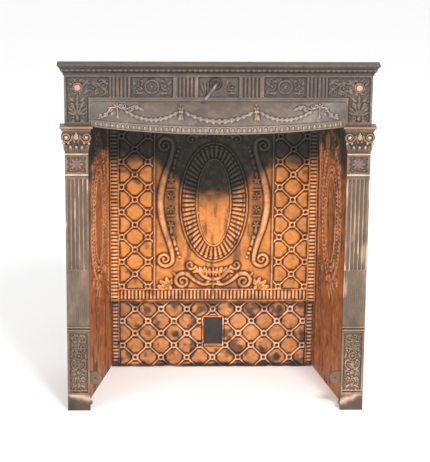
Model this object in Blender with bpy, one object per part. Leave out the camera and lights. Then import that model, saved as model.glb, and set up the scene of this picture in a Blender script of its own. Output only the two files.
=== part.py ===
"""Cast iron fireplace insert: frieze and cornice, two legs, bowed hood and firebox plates."""
import math

import bmesh
import bpy
from mathutils import Matrix, Vector
from mathutils.bvhtree import BVHTree

# Clearances
GAP = 0.0003
RUNNING_CLEARANCE = 0.0006
SCREW_CLEARANCE = 0.0005
ROOT = 0.0012
OVERSHOOT = 0.004
FLAT_ANGLE = 0.15

# Front frame
FRAME_WIDTH = 0.762
FRAME_DEPTH = 0.020
FRAME_WALL = 0.006
LEG_HEIGHT = 0.7620
DROP_LENGTH = 0.0599
FRIEZE_HEIGHT = 0.0678
CORNICE_HEIGHT = 0.0300
CORNICE_REACH = 0.0165
CORNICE_WALL = 0.005
FRIEZE_PLATE = 0.0075
DROP_WIDTH = 0.0645
PANEL_DEPTH = 0.0025
PANEL_LOW_RAIL = 0.0115
PANEL_HIGH_RAIL = 0.0042
PANEL_MARGIN = 0.0045

# Frieze divisions, each a half width or a width along the frieze
CENTRE_PANEL_HALF = 0.0512
FLUTE_FIELD = 0.0480
DIVIDER = 0.0055
CORNER_FIELD = 0.1063
FRIEZE_FLUTES = 4

# Frieze ornament
WREATH_RADIUS = 0.0175
WREATH_BAND = 0.0042
SCROLL_RADIUS = 0.0085
STEM = 0.0036
LEAFLET = 0.0075
CORNER_SCROLL = 0.0125
CORNER_SCROLL_SPACE = 0.0240
PALMETTE_RISE = 0.0140
PALMETTE_REACH = 0.0400
PALMETTE_SCROLL = 0.0062
PALMETTE_TIP = 0.0200
CENTRE_FAN_SPACE = 0.0250
CENTRE_FAN_REACH = 0.0320

# Legs
LEG_WIDTH = 0.0580
FOOT_HEIGHT = 0.0437
BASE_PANEL_HEIGHT = 0.1693
BASE_PANEL_MARGIN = 0.0065
BASE_BAND = 0.0045
BASE_BAND_SPACE = 0.0030
CABLING_HEIGHT = 0.1487
FLUTE_MARGIN = 0.0131
NECK_HEIGHT = 0.0535
NECK_BAND = 0.0045
NECK_BEAD = 0.0040
CAPITAL_HEIGHT = 0.0715
BELL_HEIGHT = 0.0260
ABACUS_HEIGHT = 0.0135
ABACUS_REACH = 0.0120
BAND_REACH = 0.0025
LEG_FLUTES = 5
LEG_FLUTE_MARGIN = 0.0040
LEG_FLUTE_DEPTH = 0.0025
CABLE_RIBS = 7
VOLUTE_RADIUS = 0.0122
EAR_WIDTH = 0.0275
EAR_HEIGHT = 0.0350
EAR_LOW = 0.0705
EAR_HOLE_RADIUS = 0.0025
EAR_THICKNESS = 0.0050
TOE_CHAMFER = 0.0060

# Leg ornament
CAPITAL_LEAF = 0.0105
CAPITAL_LEAF_SPACE = 0.0090
CAPITAL_LEAF_HEIGHT = 0.0065
NECK_FLOWER_REACH = 0.0170
BASE_FLOWER_REACH = 0.0120
BASE_FLOWER_RISE = 0.0360
VASE_RADIUS = 0.0085
VASE_RISE = 0.1010
BASE_FAN_REACH = 0.0340
BASE_SCROLL = 0.0080
BASE_SCROLL_OUT = 0.0135
CABLE_RELIEF = 0.0012

# Hood
HOOD_BULGE = 0.0730
HOOD_HEIGHT = 0.0622
HOOD_RIM_HEIGHT = 0.0180
HOOD_RIM_REACH = 0.0020
HOOD_WALL = 0.0065
HOOD_FIELD_SHARE = 0.93
HOOD_WAIST_DOWN = 0.50
HOOD_WAIST_SHARE = 0.52
HOOD_FLANGE = 0.0160
HOOD_SECTIONS = 12
EGG_COUNT = 24

# Hood ornament
SWAG_RISE = 0.0200
SWAG_DROP_BELOW = 0.0120
SWAG_GAP = 0.0080
SWAG_BAND = 0.0034
SWAG_SWELL = 0.0026
HUSK_COUNT = 5
HOOD_RELIEF = 0.0034
TASSEL_SHARE = 0.31
TASSEL_RADIUS = 0.0050
TASSEL_LENGTH = 0.0220
BOW_SHARE = 0.765
BOW_FLOWER = 0.0085
BOW_LOOP = 0.0068
BOW_LOOP_OUT = 0.0160
RIBBON_REACH = 0.0500

# Firebox
FIREBOX_DEPTH = 0.2800
FIREBOX_RISE = 0.0380
FIREBOX_MARGIN = 0.0480
JAMB_SET = 0.0148
JAMB_SPLAY = 0.0613
JAMB_PLATE = 0.0070
JAMB_FLANGE = 0.0210
JAMB_FLANGE_PLATE = 0.0080
BACK_FLANGE = 0.0210
BACK_FLANGE_PLATE = 0.0060
UPPER_PLATE = 0.0060
LOWER_PLATE = 0.0070
UPPER_FOOT = 0.1880
PLATE_LAP = 0.0170
LOWER_MARGIN = 0.0050
SIDE_RIB = 0.0150
PIPE_LEFT = -0.0236
PIPE_RIGHT = 0.0257
PIPE_FOOT = 0.0662
PIPE_TOP = 0.1432
PIPE_FRAME = 0.0030
PIPE_COVER_MARGIN = 0.0150
PIPE_COVER_PLATE = 0.0020

# Fireback ornament
BAR_PITCH = 0.0100
BAR_MARGIN = 0.0038
BAR_LENGTH = 0.0167
BORDER_SPACE = 0.0031
BORDER_BEAD = 0.0030
LATTICE_PITCH = 0.0349
LATTICE_SPACE = 0.0429
LATTICE_MARGIN = 0.0465
LATTICE_BAR = 0.0042
RING_RADIUS = 0.0087
RELIEF = 0.0038
FIELD_SPACE = 0.0525
FIELD_LINE = 0.0040
OVAL_SPACE = 0.0660
OVAL_BAND = 0.0403
OVAL_HALF_HEIGHT = 0.1644
OVAL_INNER_HEIGHT = 0.1220
OVAL_REEDS = 26
SCROLL_SPACE = 0.0275
SCROLL_RISE = 0.1586
SCROLL_OUTER = 0.0200
SCROLL_EYE = 0.0065
SCROLL_BAND = 0.0095
BAND_SPACE = 0.0175
REED_PITCH = 0.0200
REED_STRIP = 0.0250
REED_RISE = 0.0098
REED_MARGIN = 0.0024
HUSK_SPACE = 0.0445
HUSK_STEP = 0.0420
HUSK_LEAN = 0.0022
HUSK_LENGTH = 0.0220
HUSK_WIDTH = 0.0125
EDGE_MARGIN = 0.0035
LOWER_ROW_LOW = 0.0283
SPRAY_SCROLL = 0.0190
SPRAY_SCROLL_X = 0.0750
SPRAY_SCROLL_DOWN = 0.2080
SPRAY_BAND = 0.0075
SPRAY_CURL = 0.0105
SPRAY_CURL_X = 0.0540
SPRAY_CURL_DOWN = 0.1680
SPRAY_CURL_BAND = 0.0050
SPRAY_LEAF = 0.0170
SPRAY_LEAFLET = 0.0120

# Jamb ornament
JAMB_OVAL_ALONG = 0.1585
JAMB_OVAL_HALF_WIDTH = 0.0430
JAMB_OVAL_HALF_HEIGHT = 0.1180
JAMB_BEADS_SPACING = 0.0125
JAMB_BEAD = 0.0065
JAMB_BEAD_RISE = 0.0400
JAMB_LEAF_HEIGHT = 0.0800
JAMB_LEAF_WIDTH = 0.0300
JAMB_SIDE_LEAF = 0.0550
JAMB_SIDE_LEAF_WIDTH = 0.0180
JAMB_DROP_LENGTH = 0.0540
JAMB_DROP_WIDTH = 0.0220
JAMB_KNOB = 0.0095
JAMB_KNOB_DOWN = 0.0440
JAMB_BORDER_MARGIN = 0.0240
JAMB_BORDER_DOWN = 0.1900
SCREW_HOLE_RADIUS = 0.0025
SCREW_HOLE_ALONG = 0.2170
SCREW_HOLE_UP = 0.1837

# Damper handle
HANDLE_X = -0.0080
HANDLE_RISE = 0.0463
HANDLE_ROD = 0.0040
HANDLE_LENGTH = 0.0430
HANDLE_ANGLE = 36.0
HANDLE_STANDOFF = 0.0190
HANDLE_BEND = 0.0080
HANDLE_RING_RADIUS = 0.0130
HANDLE_RING_HEIGHT = 0.0030
HANDLE_HOLE_RADIUS = 0.0085
HANDLE_HOLE_DEPTH = 0.0060
BEARING_RADIUS = 0.0110
BEARING_BACK = 0.0150
COLLAR_RADIUS = 0.0080
COLLAR_THICKNESS = 0.0040
SPINDLE_TAIL = 0.0120

# Bosses and bolts
BOSS_INSET = 0.0330
BOSS_RISE = 0.0368
BOSS_RADIUS = 0.0120
BOSS_HEIGHT = 0.0075
STUD_RADIUS = 0.0030
STUD_LENGTH = 0.0090
FOOT_BOLT_UP = 0.0200
FOOT_BOLT_DEPTH = 0.0062
FOOT_BOLT_HEAD_RADIUS = 0.0055
FOOT_BOLT_HEAD = 0.0055
FOOT_BOLT_SHANK_RADIUS = 0.0025

# Places that follow from the sizes above
FRAME_HALF = FRAME_WIDTH / 2
DROP_INNER = FRAME_HALF - DROP_WIDTH
LEG_INNER = FRAME_HALF - LEG_WIDTH
LEG_MIDDLE = FRAME_HALF - LEG_WIDTH / 2
WREATH_PANEL = FRAME_HALF - CORNER_FIELD - CENTRE_PANEL_HALF - 2 * FLUTE_FIELD - 4 * DIVIDER
LEG_TOP = LEG_HEIGHT
DROP_FOOT = LEG_TOP + GAP
FRIEZE_FOOT = DROP_FOOT + DROP_LENGTH
CORNICE_FOOT = FRIEZE_FOOT + FRIEZE_HEIGHT
CORNICE_TOP = CORNICE_FOOT + CORNICE_HEIGHT
PANEL_LOW = FRIEZE_FOOT + PANEL_LOW_RAIL
PANEL_HIGH = CORNICE_FOOT - PANEL_HIGH_RAIL
PANEL_MIDDLE = (PANEL_LOW + PANEL_HIGH) / 2
BASE_TOP = FOOT_HEIGHT + BASE_PANEL_HEIGHT + BASE_BAND * 1.4
SHAFT_FOOT = BASE_TOP + 2 * (BASE_BAND + BASE_BAND_SPACE)
CABLING_TOP = SHAFT_FOOT + CABLING_HEIGHT
NECK_BEAD_TOP = LEG_TOP - CAPITAL_HEIGHT
NECK_BAND_TOP = NECK_BEAD_TOP - NECK_HEIGHT
FLUTE_TOP = NECK_BAND_TOP - FLUTE_MARGIN
BELL_TOP = NECK_BEAD_TOP + BELL_HEIGHT
HOOD_HALF = DROP_INNER - GAP
HOOD_TOP = FRIEZE_FOOT - GAP
HOOD_RIM_FOOT = FRIEZE_FOOT - HOOD_HEIGHT
HANDLE_UP = FRIEZE_FOOT + HANDLE_RISE
BOSS_X = FRAME_HALF - BOSS_INSET
BOSS_UP = FRIEZE_FOOT + BOSS_RISE
JAMB_MOUTH_HALF = LEG_INNER + JAMB_SET
FIREBACK_HALF = JAMB_MOUTH_HALF - JAMB_SPLAY
LOWER_HALF = FIREBACK_HALF - LOWER_MARGIN
LOWER_TOP = UPPER_FOOT + PLATE_LAP
FIREBOX_TOP = LEG_TOP + FIREBOX_RISE
ORNAMENT_TOP = FIREBOX_TOP - FIREBOX_MARGIN
ORNAMENT_MIDDLE = (UPPER_FOOT + ORNAMENT_TOP) / 2
BAR_OUTER = FIREBACK_HALF - BAR_MARGIN
BAR_INNER = BAR_OUTER - BAR_LENGTH
BORDER_LINE = BAR_INNER - BORDER_SPACE
LATTICE_MIDDLE = BORDER_LINE - LATTICE_SPACE
LATTICE_LOW = UPPER_FOOT + LATTICE_MARGIN
LATTICE_ROWS = 1 + int((ORNAMENT_TOP - LATTICE_MARGIN - LATTICE_LOW) / LATTICE_PITCH)
LOWER_ROWS = 1 + int((UPPER_FOOT - RING_RADIUS - LOWER_ROW_LOW) / LATTICE_PITCH)
FIELD_HALF = LATTICE_MIDDLE - FIELD_SPACE
OVAL_HALF_WIDTH = FIELD_HALF - OVAL_SPACE
OVAL_INNER_WIDTH = OVAL_HALF_WIDTH - OVAL_BAND
SCROLL_X = FIELD_HALF - SCROLL_SPACE
BAND_MIDDLE_X = FIELD_HALF - BAND_SPACE
HUSK_X = FIELD_HALF - HUSK_SPACE
REED_FOOT = UPPER_FOOT + REED_RISE
REED_HALF = BORDER_LINE - REED_MARGIN
JAMB_SEAT = FRAME_DEPTH - JAMB_FLANGE_PLATE
LEG_INNER_BACK = JAMB_SEAT - GAP
UPPER_FRONT = FRAME_DEPTH + FIREBOX_DEPTH
LOWER_FRONT = UPPER_FRONT + UPPER_PLATE + GAP
PANEL_BACK = LOWER_FRONT + LOWER_PLATE
BACK_FLANGE_FRONT = PANEL_BACK + GAP
OVERALL_BACK = BACK_FLANGE_FRONT + BACK_FLANGE_PLATE
OVERALL_FRONT = -(HOOD_BULGE + HOOD_RIM_REACH)
MIDDLE_DEPTH = (OVERALL_FRONT + OVERALL_BACK) / 2


def clear_scene():
    """Remove what a new file brings along."""
    for item in list(bpy.data.objects):
        bpy.data.objects.remove(item)


def finish_material(name, colour, roughness, metallic):
    """Make one Principled material."""
    material = bpy.data.materials.new(name)
    material.use_nodes = True
    shader = material.node_tree.nodes["Principled BSDF"]
    shader.inputs["Base Color"].default_value = (*colour, 1.0)
    shader.inputs["Roughness"].default_value = roughness
    shader.inputs["Metallic"].default_value = metallic
    material.diffuse_color = (*colour, 1.0)
    return material


def bronzed_iron():
    """Dark bronze plating on the front castings."""
    return finish_material("bronzed_iron", (0.16, 0.12, 0.095), 0.5, 0.8)


def pewter_iron():
    """Greyer, rubbed plating on the hood."""
    return finish_material("pewter_iron", (0.24, 0.2, 0.17), 0.42, 0.85)


def coppered_iron():
    """Copper plating on the firebox castings."""
    return finish_material("coppered_iron", (0.52, 0.22, 0.08), 0.48, 0.8)


def worn_copper():
    """Bright copper on the small bosses."""
    return finish_material("worn_copper", (0.55, 0.3, 0.2), 0.35, 0.9)


def dark_steel():
    """Blackened, handled steel."""
    return finish_material("dark_steel", (0.08, 0.08, 0.085), 0.3, 0.9)


def object_from(bm, name):
    """Turn a bmesh of closed shells into a linked object with faces pointing out."""
    bmesh.ops.recalc_face_normals(bm, faces=bm.faces)
    mesh = bpy.data.meshes.new(name)
    bm.to_mesh(mesh)
    bm.free()
    item = bpy.data.objects.new(name, mesh)
    bpy.context.scene.collection.objects.link(item)
    return item


def combine(body, other, operation):
    """Join another closed mesh to a body, or cut it away, and drop the other."""
    modifier = body.modifiers.new(operation.lower(), "BOOLEAN")
    modifier.operation = operation
    modifier.object = other
    modifier.solver = "EXACT"
    modifier.use_self = True
    bpy.context.view_layer.update()
    graph = bpy.context.evaluated_depsgraph_get()
    result = bpy.data.meshes.new_from_object(body.evaluated_get(graph))
    body.modifiers.clear()
    previous = body.data
    body.data = result
    bpy.data.meshes.remove(previous)
    bpy.data.objects.remove(other)
    return body


def merge_flat_faces(item):
    """Join faces that lie in one plane, so that flat grounds stay whole."""
    bm = bmesh.new()
    bm.from_mesh(item.data)
    bmesh.ops.dissolve_limit(bm, angle_limit=math.radians(FLAT_ANGLE), verts=bm.verts, edges=bm.edges,
                             use_dissolve_boundaries=False)
    bm.to_mesh(item.data)
    bm.free()


def mirrored(item, name):
    """Copy a right-hand piece to the left side."""
    mesh = item.data.copy()
    mesh.transform(Matrix.Scale(-1.0, 4, (1.0, 0.0, 0.0)))
    mesh.flip_normals()
    copy = bpy.data.objects.new(name, mesh)
    bpy.context.scene.collection.objects.link(copy)
    return copy


def dress(item, name, material, datum, smooth_angle=None):
    """Name a piece, give it its finish and hang it on the datum."""
    merge_flat_faces(item)
    item.name = name
    item.data.name = name
    item.data.materials.clear()
    item.data.materials.append(material)
    if smooth_angle is not None:
        item.data.shade_smooth()
        item.data.set_sharp_from_angle(angle=math.radians(smooth_angle))
    item.parent = datum


def add_loft(bm, rings):
    """Add a closed solid through rings with equal numbers of points."""
    rows = [[bm.verts.new(point) for point in ring] for ring in rings]
    count = len(rows[0])
    for lower, upper in zip(rows, rows[1:]):
        for index in range(count):
            after = (index + 1) % count
            bm.faces.new((lower[index], lower[after], upper[after], upper[index]))
    bm.faces.new(list(reversed(rows[0])))
    bm.faces.new(rows[-1])


def add_box(bm, low, high):
    """Add a closed box between two corners."""
    corners = [(low[0], low[1]), (high[0], low[1]), (high[0], high[1]), (low[0], high[1])]
    add_loft(bm, [[(x, y, level) for x, y in corners] for level in (low[2], high[2])])


def add_slab(bm, outline, front, back):
    """Add a closed slab with an outline in X and Z, between two depths."""
    add_loft(bm, [[(x, depth, z) for x, z in outline] for depth in (front, back)])


def add_column(bm, plan, foot, top):
    """Add a closed solid with a plan in X and Y, between two heights."""
    add_loft(bm, [[(x, y, level) for x, y in plan] for level in (foot, top)])


def circle_points(centre, radius, sides, turn=0.0, stretch=1.0):
    """List points around a circle or an ellipse whose second axis is stretched."""
    points = []
    for index in range(sides):
        angle = turn + 2 * math.pi * index / sides
        along = centre[0] + radius * math.cos(angle)
        up = centre[1] + radius * stretch * math.sin(angle)
        points.append((along, up))
    return points


def add_rod(bm, x, z, radius, front, back, sides=12):
    """Add a round bar along Y."""
    add_slab(bm, circle_points((x, z), radius, sides), front, back)


def facing_front(depth):
    """Return a mapping from along, up and height to a plate that faces -Y at a depth."""
    def place(along, up, height):
        return Vector((along, depth - height, up))
    return place


def add_ridge(bm, place, points, widths, height, top=0.0, closed=False):
    """Add a raised bead with sloping sides along a line of points on a surface."""
    count = len(points)
    if not isinstance(widths, (list, tuple)):
        widths = [widths] * count
    rows = []
    for index, (along, up) in enumerate(points):
        before = points[index - 1] if closed or index > 0 else points[index]
        after = points[(index + 1) % count] if closed or index < count - 1 else points[index]
        direction = (Vector(after) - Vector(before)).normalized()
        side = Vector((-direction.y, direction.x))
        half = widths[index] / 2
        crest = half * top
        foot = half + (half - crest) * ROOT / height
        section = [(foot, -ROOT), (-foot, -ROOT)]
        section += [(-crest, height), (crest, height)] if top > 0 else [(0.0, height)]
        row = []
        for offset, level in section:
            row.append(bm.verts.new(place(along + side.x * offset, up + side.y * offset, level)))
        rows.append(row)
    pairs = list(zip(rows, rows[1:]))
    if closed:
        pairs.append((rows[-1], rows[0]))
    size = len(rows[0])
    for first, second in pairs:
        for index in range(size):
            after = (index + 1) % size
            bm.faces.new((first[index], first[after], second[after], second[index]))
    if not closed:
        bm.faces.new(list(reversed(rows[0])))
        bm.faces.new(rows[-1])


def add_comb(bm, place, corners, count, height, upright=False):
    """Add a strip of side-by-side bars with sloping flanks, across or along a plate."""
    (low_along, low_up), (high_along, high_up) = corners
    start, end = (low_along, high_along) if upright else (low_up, high_up)
    near, far = (low_up, high_up) if upright else (low_along, high_along)
    pitch = (end - start) / count
    profile = [(start, -ROOT), (start, height * 0.15)]
    for index in range(count):
        profile.append((start + pitch * (index + 0.5), height))
        profile.append((start + pitch * (index + 1), height * 0.15))
    profile.append((end, -ROOT))
    rings = []
    for edge in (near, far):
        ring = []
        for spot, level in profile:
            along, up = (spot, edge) if upright else (edge, spot)
            ring.append(place(along, up, level))
        rings.append(ring)
    add_loft(bm, rings)


def add_boss(bm, place, centre, radius, height, sides=6, crest=0.6, dimple=0.0, stretch=1.0, turn=0.0):
    """Add a raised round or oval knob, with a hollow in its top where one is asked for."""
    spread = 1.0 + (1.0 - crest) * ROOT / height
    foot = [bm.verts.new(place(a, u, -ROOT))
            for a, u in circle_points(centre, radius * spread, sides, turn, stretch)]
    head = [bm.verts.new(place(a, u, height))
            for a, u in circle_points(centre, radius * crest, sides, turn, stretch)]
    bm.faces.new(list(reversed(foot)))
    for index in range(sides):
        after = (index + 1) % sides
        bm.faces.new((foot[index], foot[after], head[after], head[index]))
    if dimple > 0:
        bottom = bm.verts.new(place(centre[0], centre[1], height - dimple))
        for index in range(sides):
            bm.faces.new((head[index], head[(index + 1) % sides], bottom))
    else:
        bm.faces.new(head)


def add_leaf(bm, place, start, end, width, height, belly=0.4):
    """Add a pointed leaf with a ridge from its stem to its tip."""
    root = Vector(start)
    tip = Vector(end)
    wide = root.lerp(tip, belly)
    direction = (tip - root).normalized()
    side = Vector((-direction.y, direction.x)) * width / 2
    outline = [root, wide - side, tip, wide + side]
    foot = [bm.verts.new(place(p.x, p.y, -ROOT)) for p in outline]
    peak = bm.verts.new(place(wide.x, wide.y, height))
    bm.faces.new(list(reversed(foot)))
    for index in range(4):
        bm.faces.new((foot[index], foot[(index + 1) % 4], peak))


def spiral(centre, inner, outer, start_turn, turns, steps, hand=1.0):
    """List points that wind out from an inner to an outer radius."""
    points = []
    for step in range(steps + 1):
        share = step / steps
        angle = 2 * math.pi * (start_turn + hand * turns * share)
        radius = inner + (outer - inner) * share
        points.append((centre[0] + radius * math.cos(angle), centre[1] + radius * math.sin(angle)))
    return points


def bezier(start, lead, follow, end, steps):
    """List points along a cubic curve, without its first point."""
    points = []
    for step in range(1, steps + 1):
        t = step / steps
        s = 1 - t
        weights = (s ** 3, 3 * s * s * t, 3 * s * t * t, t ** 3)
        points.append(tuple(sum(w * p[axis] for w, p in zip(weights, (start, lead, follow, end)))
                            for axis in (0, 1)))
    return points


def flipped(points, middle):
    """Turn a line of points upside down about a height, in reverse order."""
    return [(along, 2 * middle - up) for along, up in reversed(points)]


def sided(points, side):
    """Carry points to the right, or mirror them to the left."""
    return [(side * along, up) for along, up in points]


def add_fan(bm, place, centre, radius, leaves, spread, width, height, turn=90.0):
    """Add a palmette of leaves that open from one point."""
    for index in range(leaves):
        share = index / (leaves - 1) - 0.5
        angle = math.radians(turn + spread * share)
        reach = radius * (1.0 - 0.5 * abs(share))
        tip = (centre[0] + reach * math.cos(angle), centre[1] + reach * math.sin(angle))
        add_leaf(bm, place, centre, tip, width, height, belly=0.55)


def frame_block(bm, reach_levels, inner_half, depth_front):
    """Add the frieze and cornice as rectangles that step out level by level."""
    rings = []
    for level, reach in reach_levels:
        half = inner_half + reach
        front = depth_front - reach
        back = FRAME_DEPTH
        rings.append([(-half, front, level), (half, front, level), (half, back, level),
                      (-half, back, level)])
    add_loft(bm, rings)


def cornice_levels():
    """List heights and reaches of the cornice, from the frieze up to the shelf."""
    shares = (
        (0.00, 0.00), (0.06, 0.16), (0.22, 0.20), (0.36, 0.42),
        (0.54, 0.52), (0.72, 0.72), (0.88, 0.90), (0.91, 1.00), (1.00, 1.00),
    )
    return [(CORNICE_FOOT + CORNICE_HEIGHT * up, CORNICE_REACH * out) for up, out in shares]


def corner_outline(margin):
    """Outline the angled corner panel on the right side, in X and Z."""
    outer = FRAME_HALF - margin
    inner = FRAME_HALF - CORNER_FIELD
    low = DROP_FOOT + margin * 1.6
    arm = DROP_INNER + margin
    return [(inner, PANEL_LOW), (arm, PANEL_LOW), (arm, low), (outer, low), (outer, PANEL_HIGH),
            (inner, PANEL_HIGH)]


def frieze_fields():
    """List where each field of the right half of the frieze starts and ends."""
    first = CENTRE_PANEL_HALF + DIVIDER
    wreath = first + FLUTE_FIELD + DIVIDER
    second = wreath + WREATH_PANEL + DIVIDER
    return {"first": (first, first + FLUTE_FIELD), "wreath": (wreath, wreath + WREATH_PANEL),
            "second": (second, second + FLUTE_FIELD)}


def cut_frieze_panels(body):
    """Sink the panels and the flutes into the frieze."""
    bm = bmesh.new()
    fields = frieze_fields()
    front = -OVERSHOOT
    add_box(bm, (-CENTRE_PANEL_HALF, front, PANEL_LOW), (CENTRE_PANEL_HALF, PANEL_DEPTH, PANEL_HIGH))
    for side in (1, -1):
        add_slab(bm, sided(corner_outline(PANEL_MARGIN), side), front, PANEL_DEPTH)
        low, high = sorted((side * fields["wreath"][0], side * fields["wreath"][1]))
        add_box(bm, (low, front, PANEL_LOW), (high, PANEL_DEPTH, PANEL_HIGH))
        for name in ("first", "second"):
            start, end = fields[name]
            pitch = (end - start) / FRIEZE_FLUTES
            for index in range(FRIEZE_FLUTES):
                middle = side * (start + pitch * (index + 0.5))
                half = pitch * 0.36
                spread = half * (1.0 + OVERSHOOT / PANEL_DEPTH)
                groove = [(middle - spread, -OVERSHOOT), (middle + spread, -OVERSHOOT),
                          (middle, PANEL_DEPTH)]
                add_column(bm, groove, PANEL_LOW, PANEL_HIGH)
    return combine(body, object_from(bm, "panel_cutter"), "DIFFERENCE")


def add_wreath(bm, place, centre):
    """Add a laurel wreath with its crossed sprays and ribbon."""
    ring = circle_points(centre, WREATH_RADIUS, 10)
    add_ridge(bm, place, ring, WREATH_BAND, PANEL_DEPTH, closed=True)
    reach = WREATH_RADIUS * 0.6
    half = WREATH_PANEL / 2
    for side in (1, -1):
        add_leaf(bm, place, (centre[0] - side * reach * 0.5, centre[1] - reach),
                 (centre[0] + side * reach * 0.6, centre[1] + reach), WREATH_BAND, PANEL_DEPTH * 0.8)
        heart = (centre[0] + side * half * 0.63, centre[1] + WREATH_RADIUS * 0.15)
        coil = spiral(heart, SCROLL_RADIUS * 0.3, SCROLL_RADIUS, 0.6, 0.8, 4, hand=side)
        add_ridge(bm, place, coil, STEM, PANEL_DEPTH * 0.8)
        start = (centre[0] + side * half * 0.45, centre[1] - WREATH_RADIUS * 0.75)
        tip = (centre[0] + side * half * 0.86, start[1] + WREATH_RADIUS * 0.1)
        add_leaf(bm, place, start, tip, LEAFLET * 0.8, PANEL_DEPTH * 0.8)


def add_corner_foliage(bm, place, side):
    """Add the scrolls and the palmette of one corner panel."""
    outline = corner_outline(PANEL_MARGIN)
    inner = outline[0][0]
    for index, fold in enumerate((-1, 1)):
        along = inner + CORNER_SCROLL * 1.04 + CORNER_SCROLL_SPACE * index
        heart = (side * along, PANEL_MIDDLE + fold * CORNER_SCROLL * 0.16)
        coil = spiral(heart, CORNER_SCROLL * 0.26, CORNER_SCROLL, 0.5 + 0.25 * fold, 0.9, 6,
                      hand=side * fold)
        add_ridge(bm, place, coil, STEM, PANEL_DEPTH * 0.9)
    drop_middle = side * (DROP_INNER + DROP_WIDTH / 2)
    foot = DROP_FOOT + PALMETTE_RISE
    top = foot + PALMETTE_REACH * 1.1
    add_fan(bm, place, (drop_middle, foot), PALMETTE_REACH, 5, 130.0, LEAFLET, PANEL_DEPTH)
    add_leaf(bm, place, (drop_middle, top), (drop_middle, top + PALMETTE_TIP), LEAFLET, PANEL_DEPTH)
    for hand in (1, -1):
        heart = (drop_middle + hand * PALMETTE_REACH * 0.375, foot + PALMETTE_REACH * 0.8)
        coil = spiral(heart, PALMETTE_SCROLL * 0.32, PALMETTE_SCROLL, 0.75, 0.8, 4, hand=hand)
        add_ridge(bm, place, coil, STEM, PANEL_DEPTH * 0.8)


def carve_frieze(body):
    """Raise the ornament of the frieze on its sunk grounds."""
    bm = bmesh.new()
    place = facing_front(PANEL_DEPTH)
    wreath = frieze_fields()["wreath"]
    for side in (1, -1):
        add_wreath(bm, place, (side * sum(wreath) / 2, PANEL_MIDDLE))
        add_corner_foliage(bm, place, side)
        foot = (HANDLE_X + side * CENTRE_FAN_SPACE, PANEL_LOW + LEAFLET * 0.8)
        add_fan(bm, place, foot, CENTRE_FAN_REACH, 4, 100.0, LEAFLET * 0.9, PANEL_DEPTH,
                turn=90.0 - side * 22.0)
    combine(body, object_from(bm, "frieze_relief"), "UNION")
    return body


def add_handle_housing(body):
    """Raise the ring around the spindle and the bearing behind it, and bore them."""
    bm = bmesh.new()
    add_rod(bm, HANDLE_X, HANDLE_UP, HANDLE_RING_RADIUS, -HANDLE_RING_HEIGHT + PANEL_DEPTH,
            PANEL_DEPTH + ROOT, sides=14)
    add_rod(bm, HANDLE_X, HANDLE_UP, BEARING_RADIUS, PANEL_DEPTH + ROOT * 2, BEARING_BACK, sides=10)
    combine(body, object_from(bm, "housing"), "UNION")
    bm = bmesh.new()
    add_rod(bm, HANDLE_X, HANDLE_UP, HANDLE_HOLE_RADIUS, -OVERSHOOT, HANDLE_HOLE_DEPTH, sides=14)
    add_rod(bm, HANDLE_X, HANDLE_UP, HANDLE_ROD + RUNNING_CLEARANCE, -OVERSHOOT,
            BEARING_BACK + OVERSHOOT, sides=10)
    for side in (1, -1):
        add_rod(bm, side * BOSS_X, BOSS_UP, STUD_RADIUS + SCREW_CLEARANCE, -OVERSHOOT,
                FRIEZE_PLATE + OVERSHOOT, sides=8)
    return combine(body, object_from(bm, "bores"), "DIFFERENCE")


def make_lintel():
    """Model the frieze, its cornice and the two drops as one hollow casting."""
    bm = bmesh.new()
    levels = [(DROP_FOOT, 0.0)] + cornice_levels()
    frame_block(bm, levels, FRAME_HALF, 0.0)
    body = object_from(bm, "lintel")
    bm = bmesh.new()
    add_box(bm, (-DROP_INNER, -OVERSHOOT, DROP_FOOT - OVERSHOOT),
            (DROP_INNER, FRAME_DEPTH + OVERSHOOT, FRIEZE_FOOT))
    combine(body, object_from(bm, "opening"), "DIFFERENCE")
    bm = bmesh.new()
    half = FRAME_HALF - FRAME_WALL
    rings = []
    levels = [(DROP_FOOT - OVERSHOOT, 0.0)]
    for level, reach in cornice_levels()[1:-1]:
        if reach > CORNICE_WALL:
            levels.append((level, reach - CORNICE_WALL))
        if level > CORNICE_TOP - CORNICE_WALL:
            levels.pop()
    levels.insert(1, (levels[1][0] - CORNICE_WALL, 0.0))
    levels.append((CORNICE_TOP - CORNICE_WALL, levels[-1][1]))
    back = FRAME_DEPTH + OVERSHOOT
    for level, reach in levels:
        wide = half + reach
        front = FRIEZE_PLATE - reach
        rings.append([(-wide, front, level), (wide, front, level), (wide, back, level),
                      (-wide, back, level)])
    add_loft(bm, rings)
    combine(body, object_from(bm, "hollow"), "DIFFERENCE")
    cut_frieze_panels(body)
    carve_frieze(body)
    return add_handle_housing(body)


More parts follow.
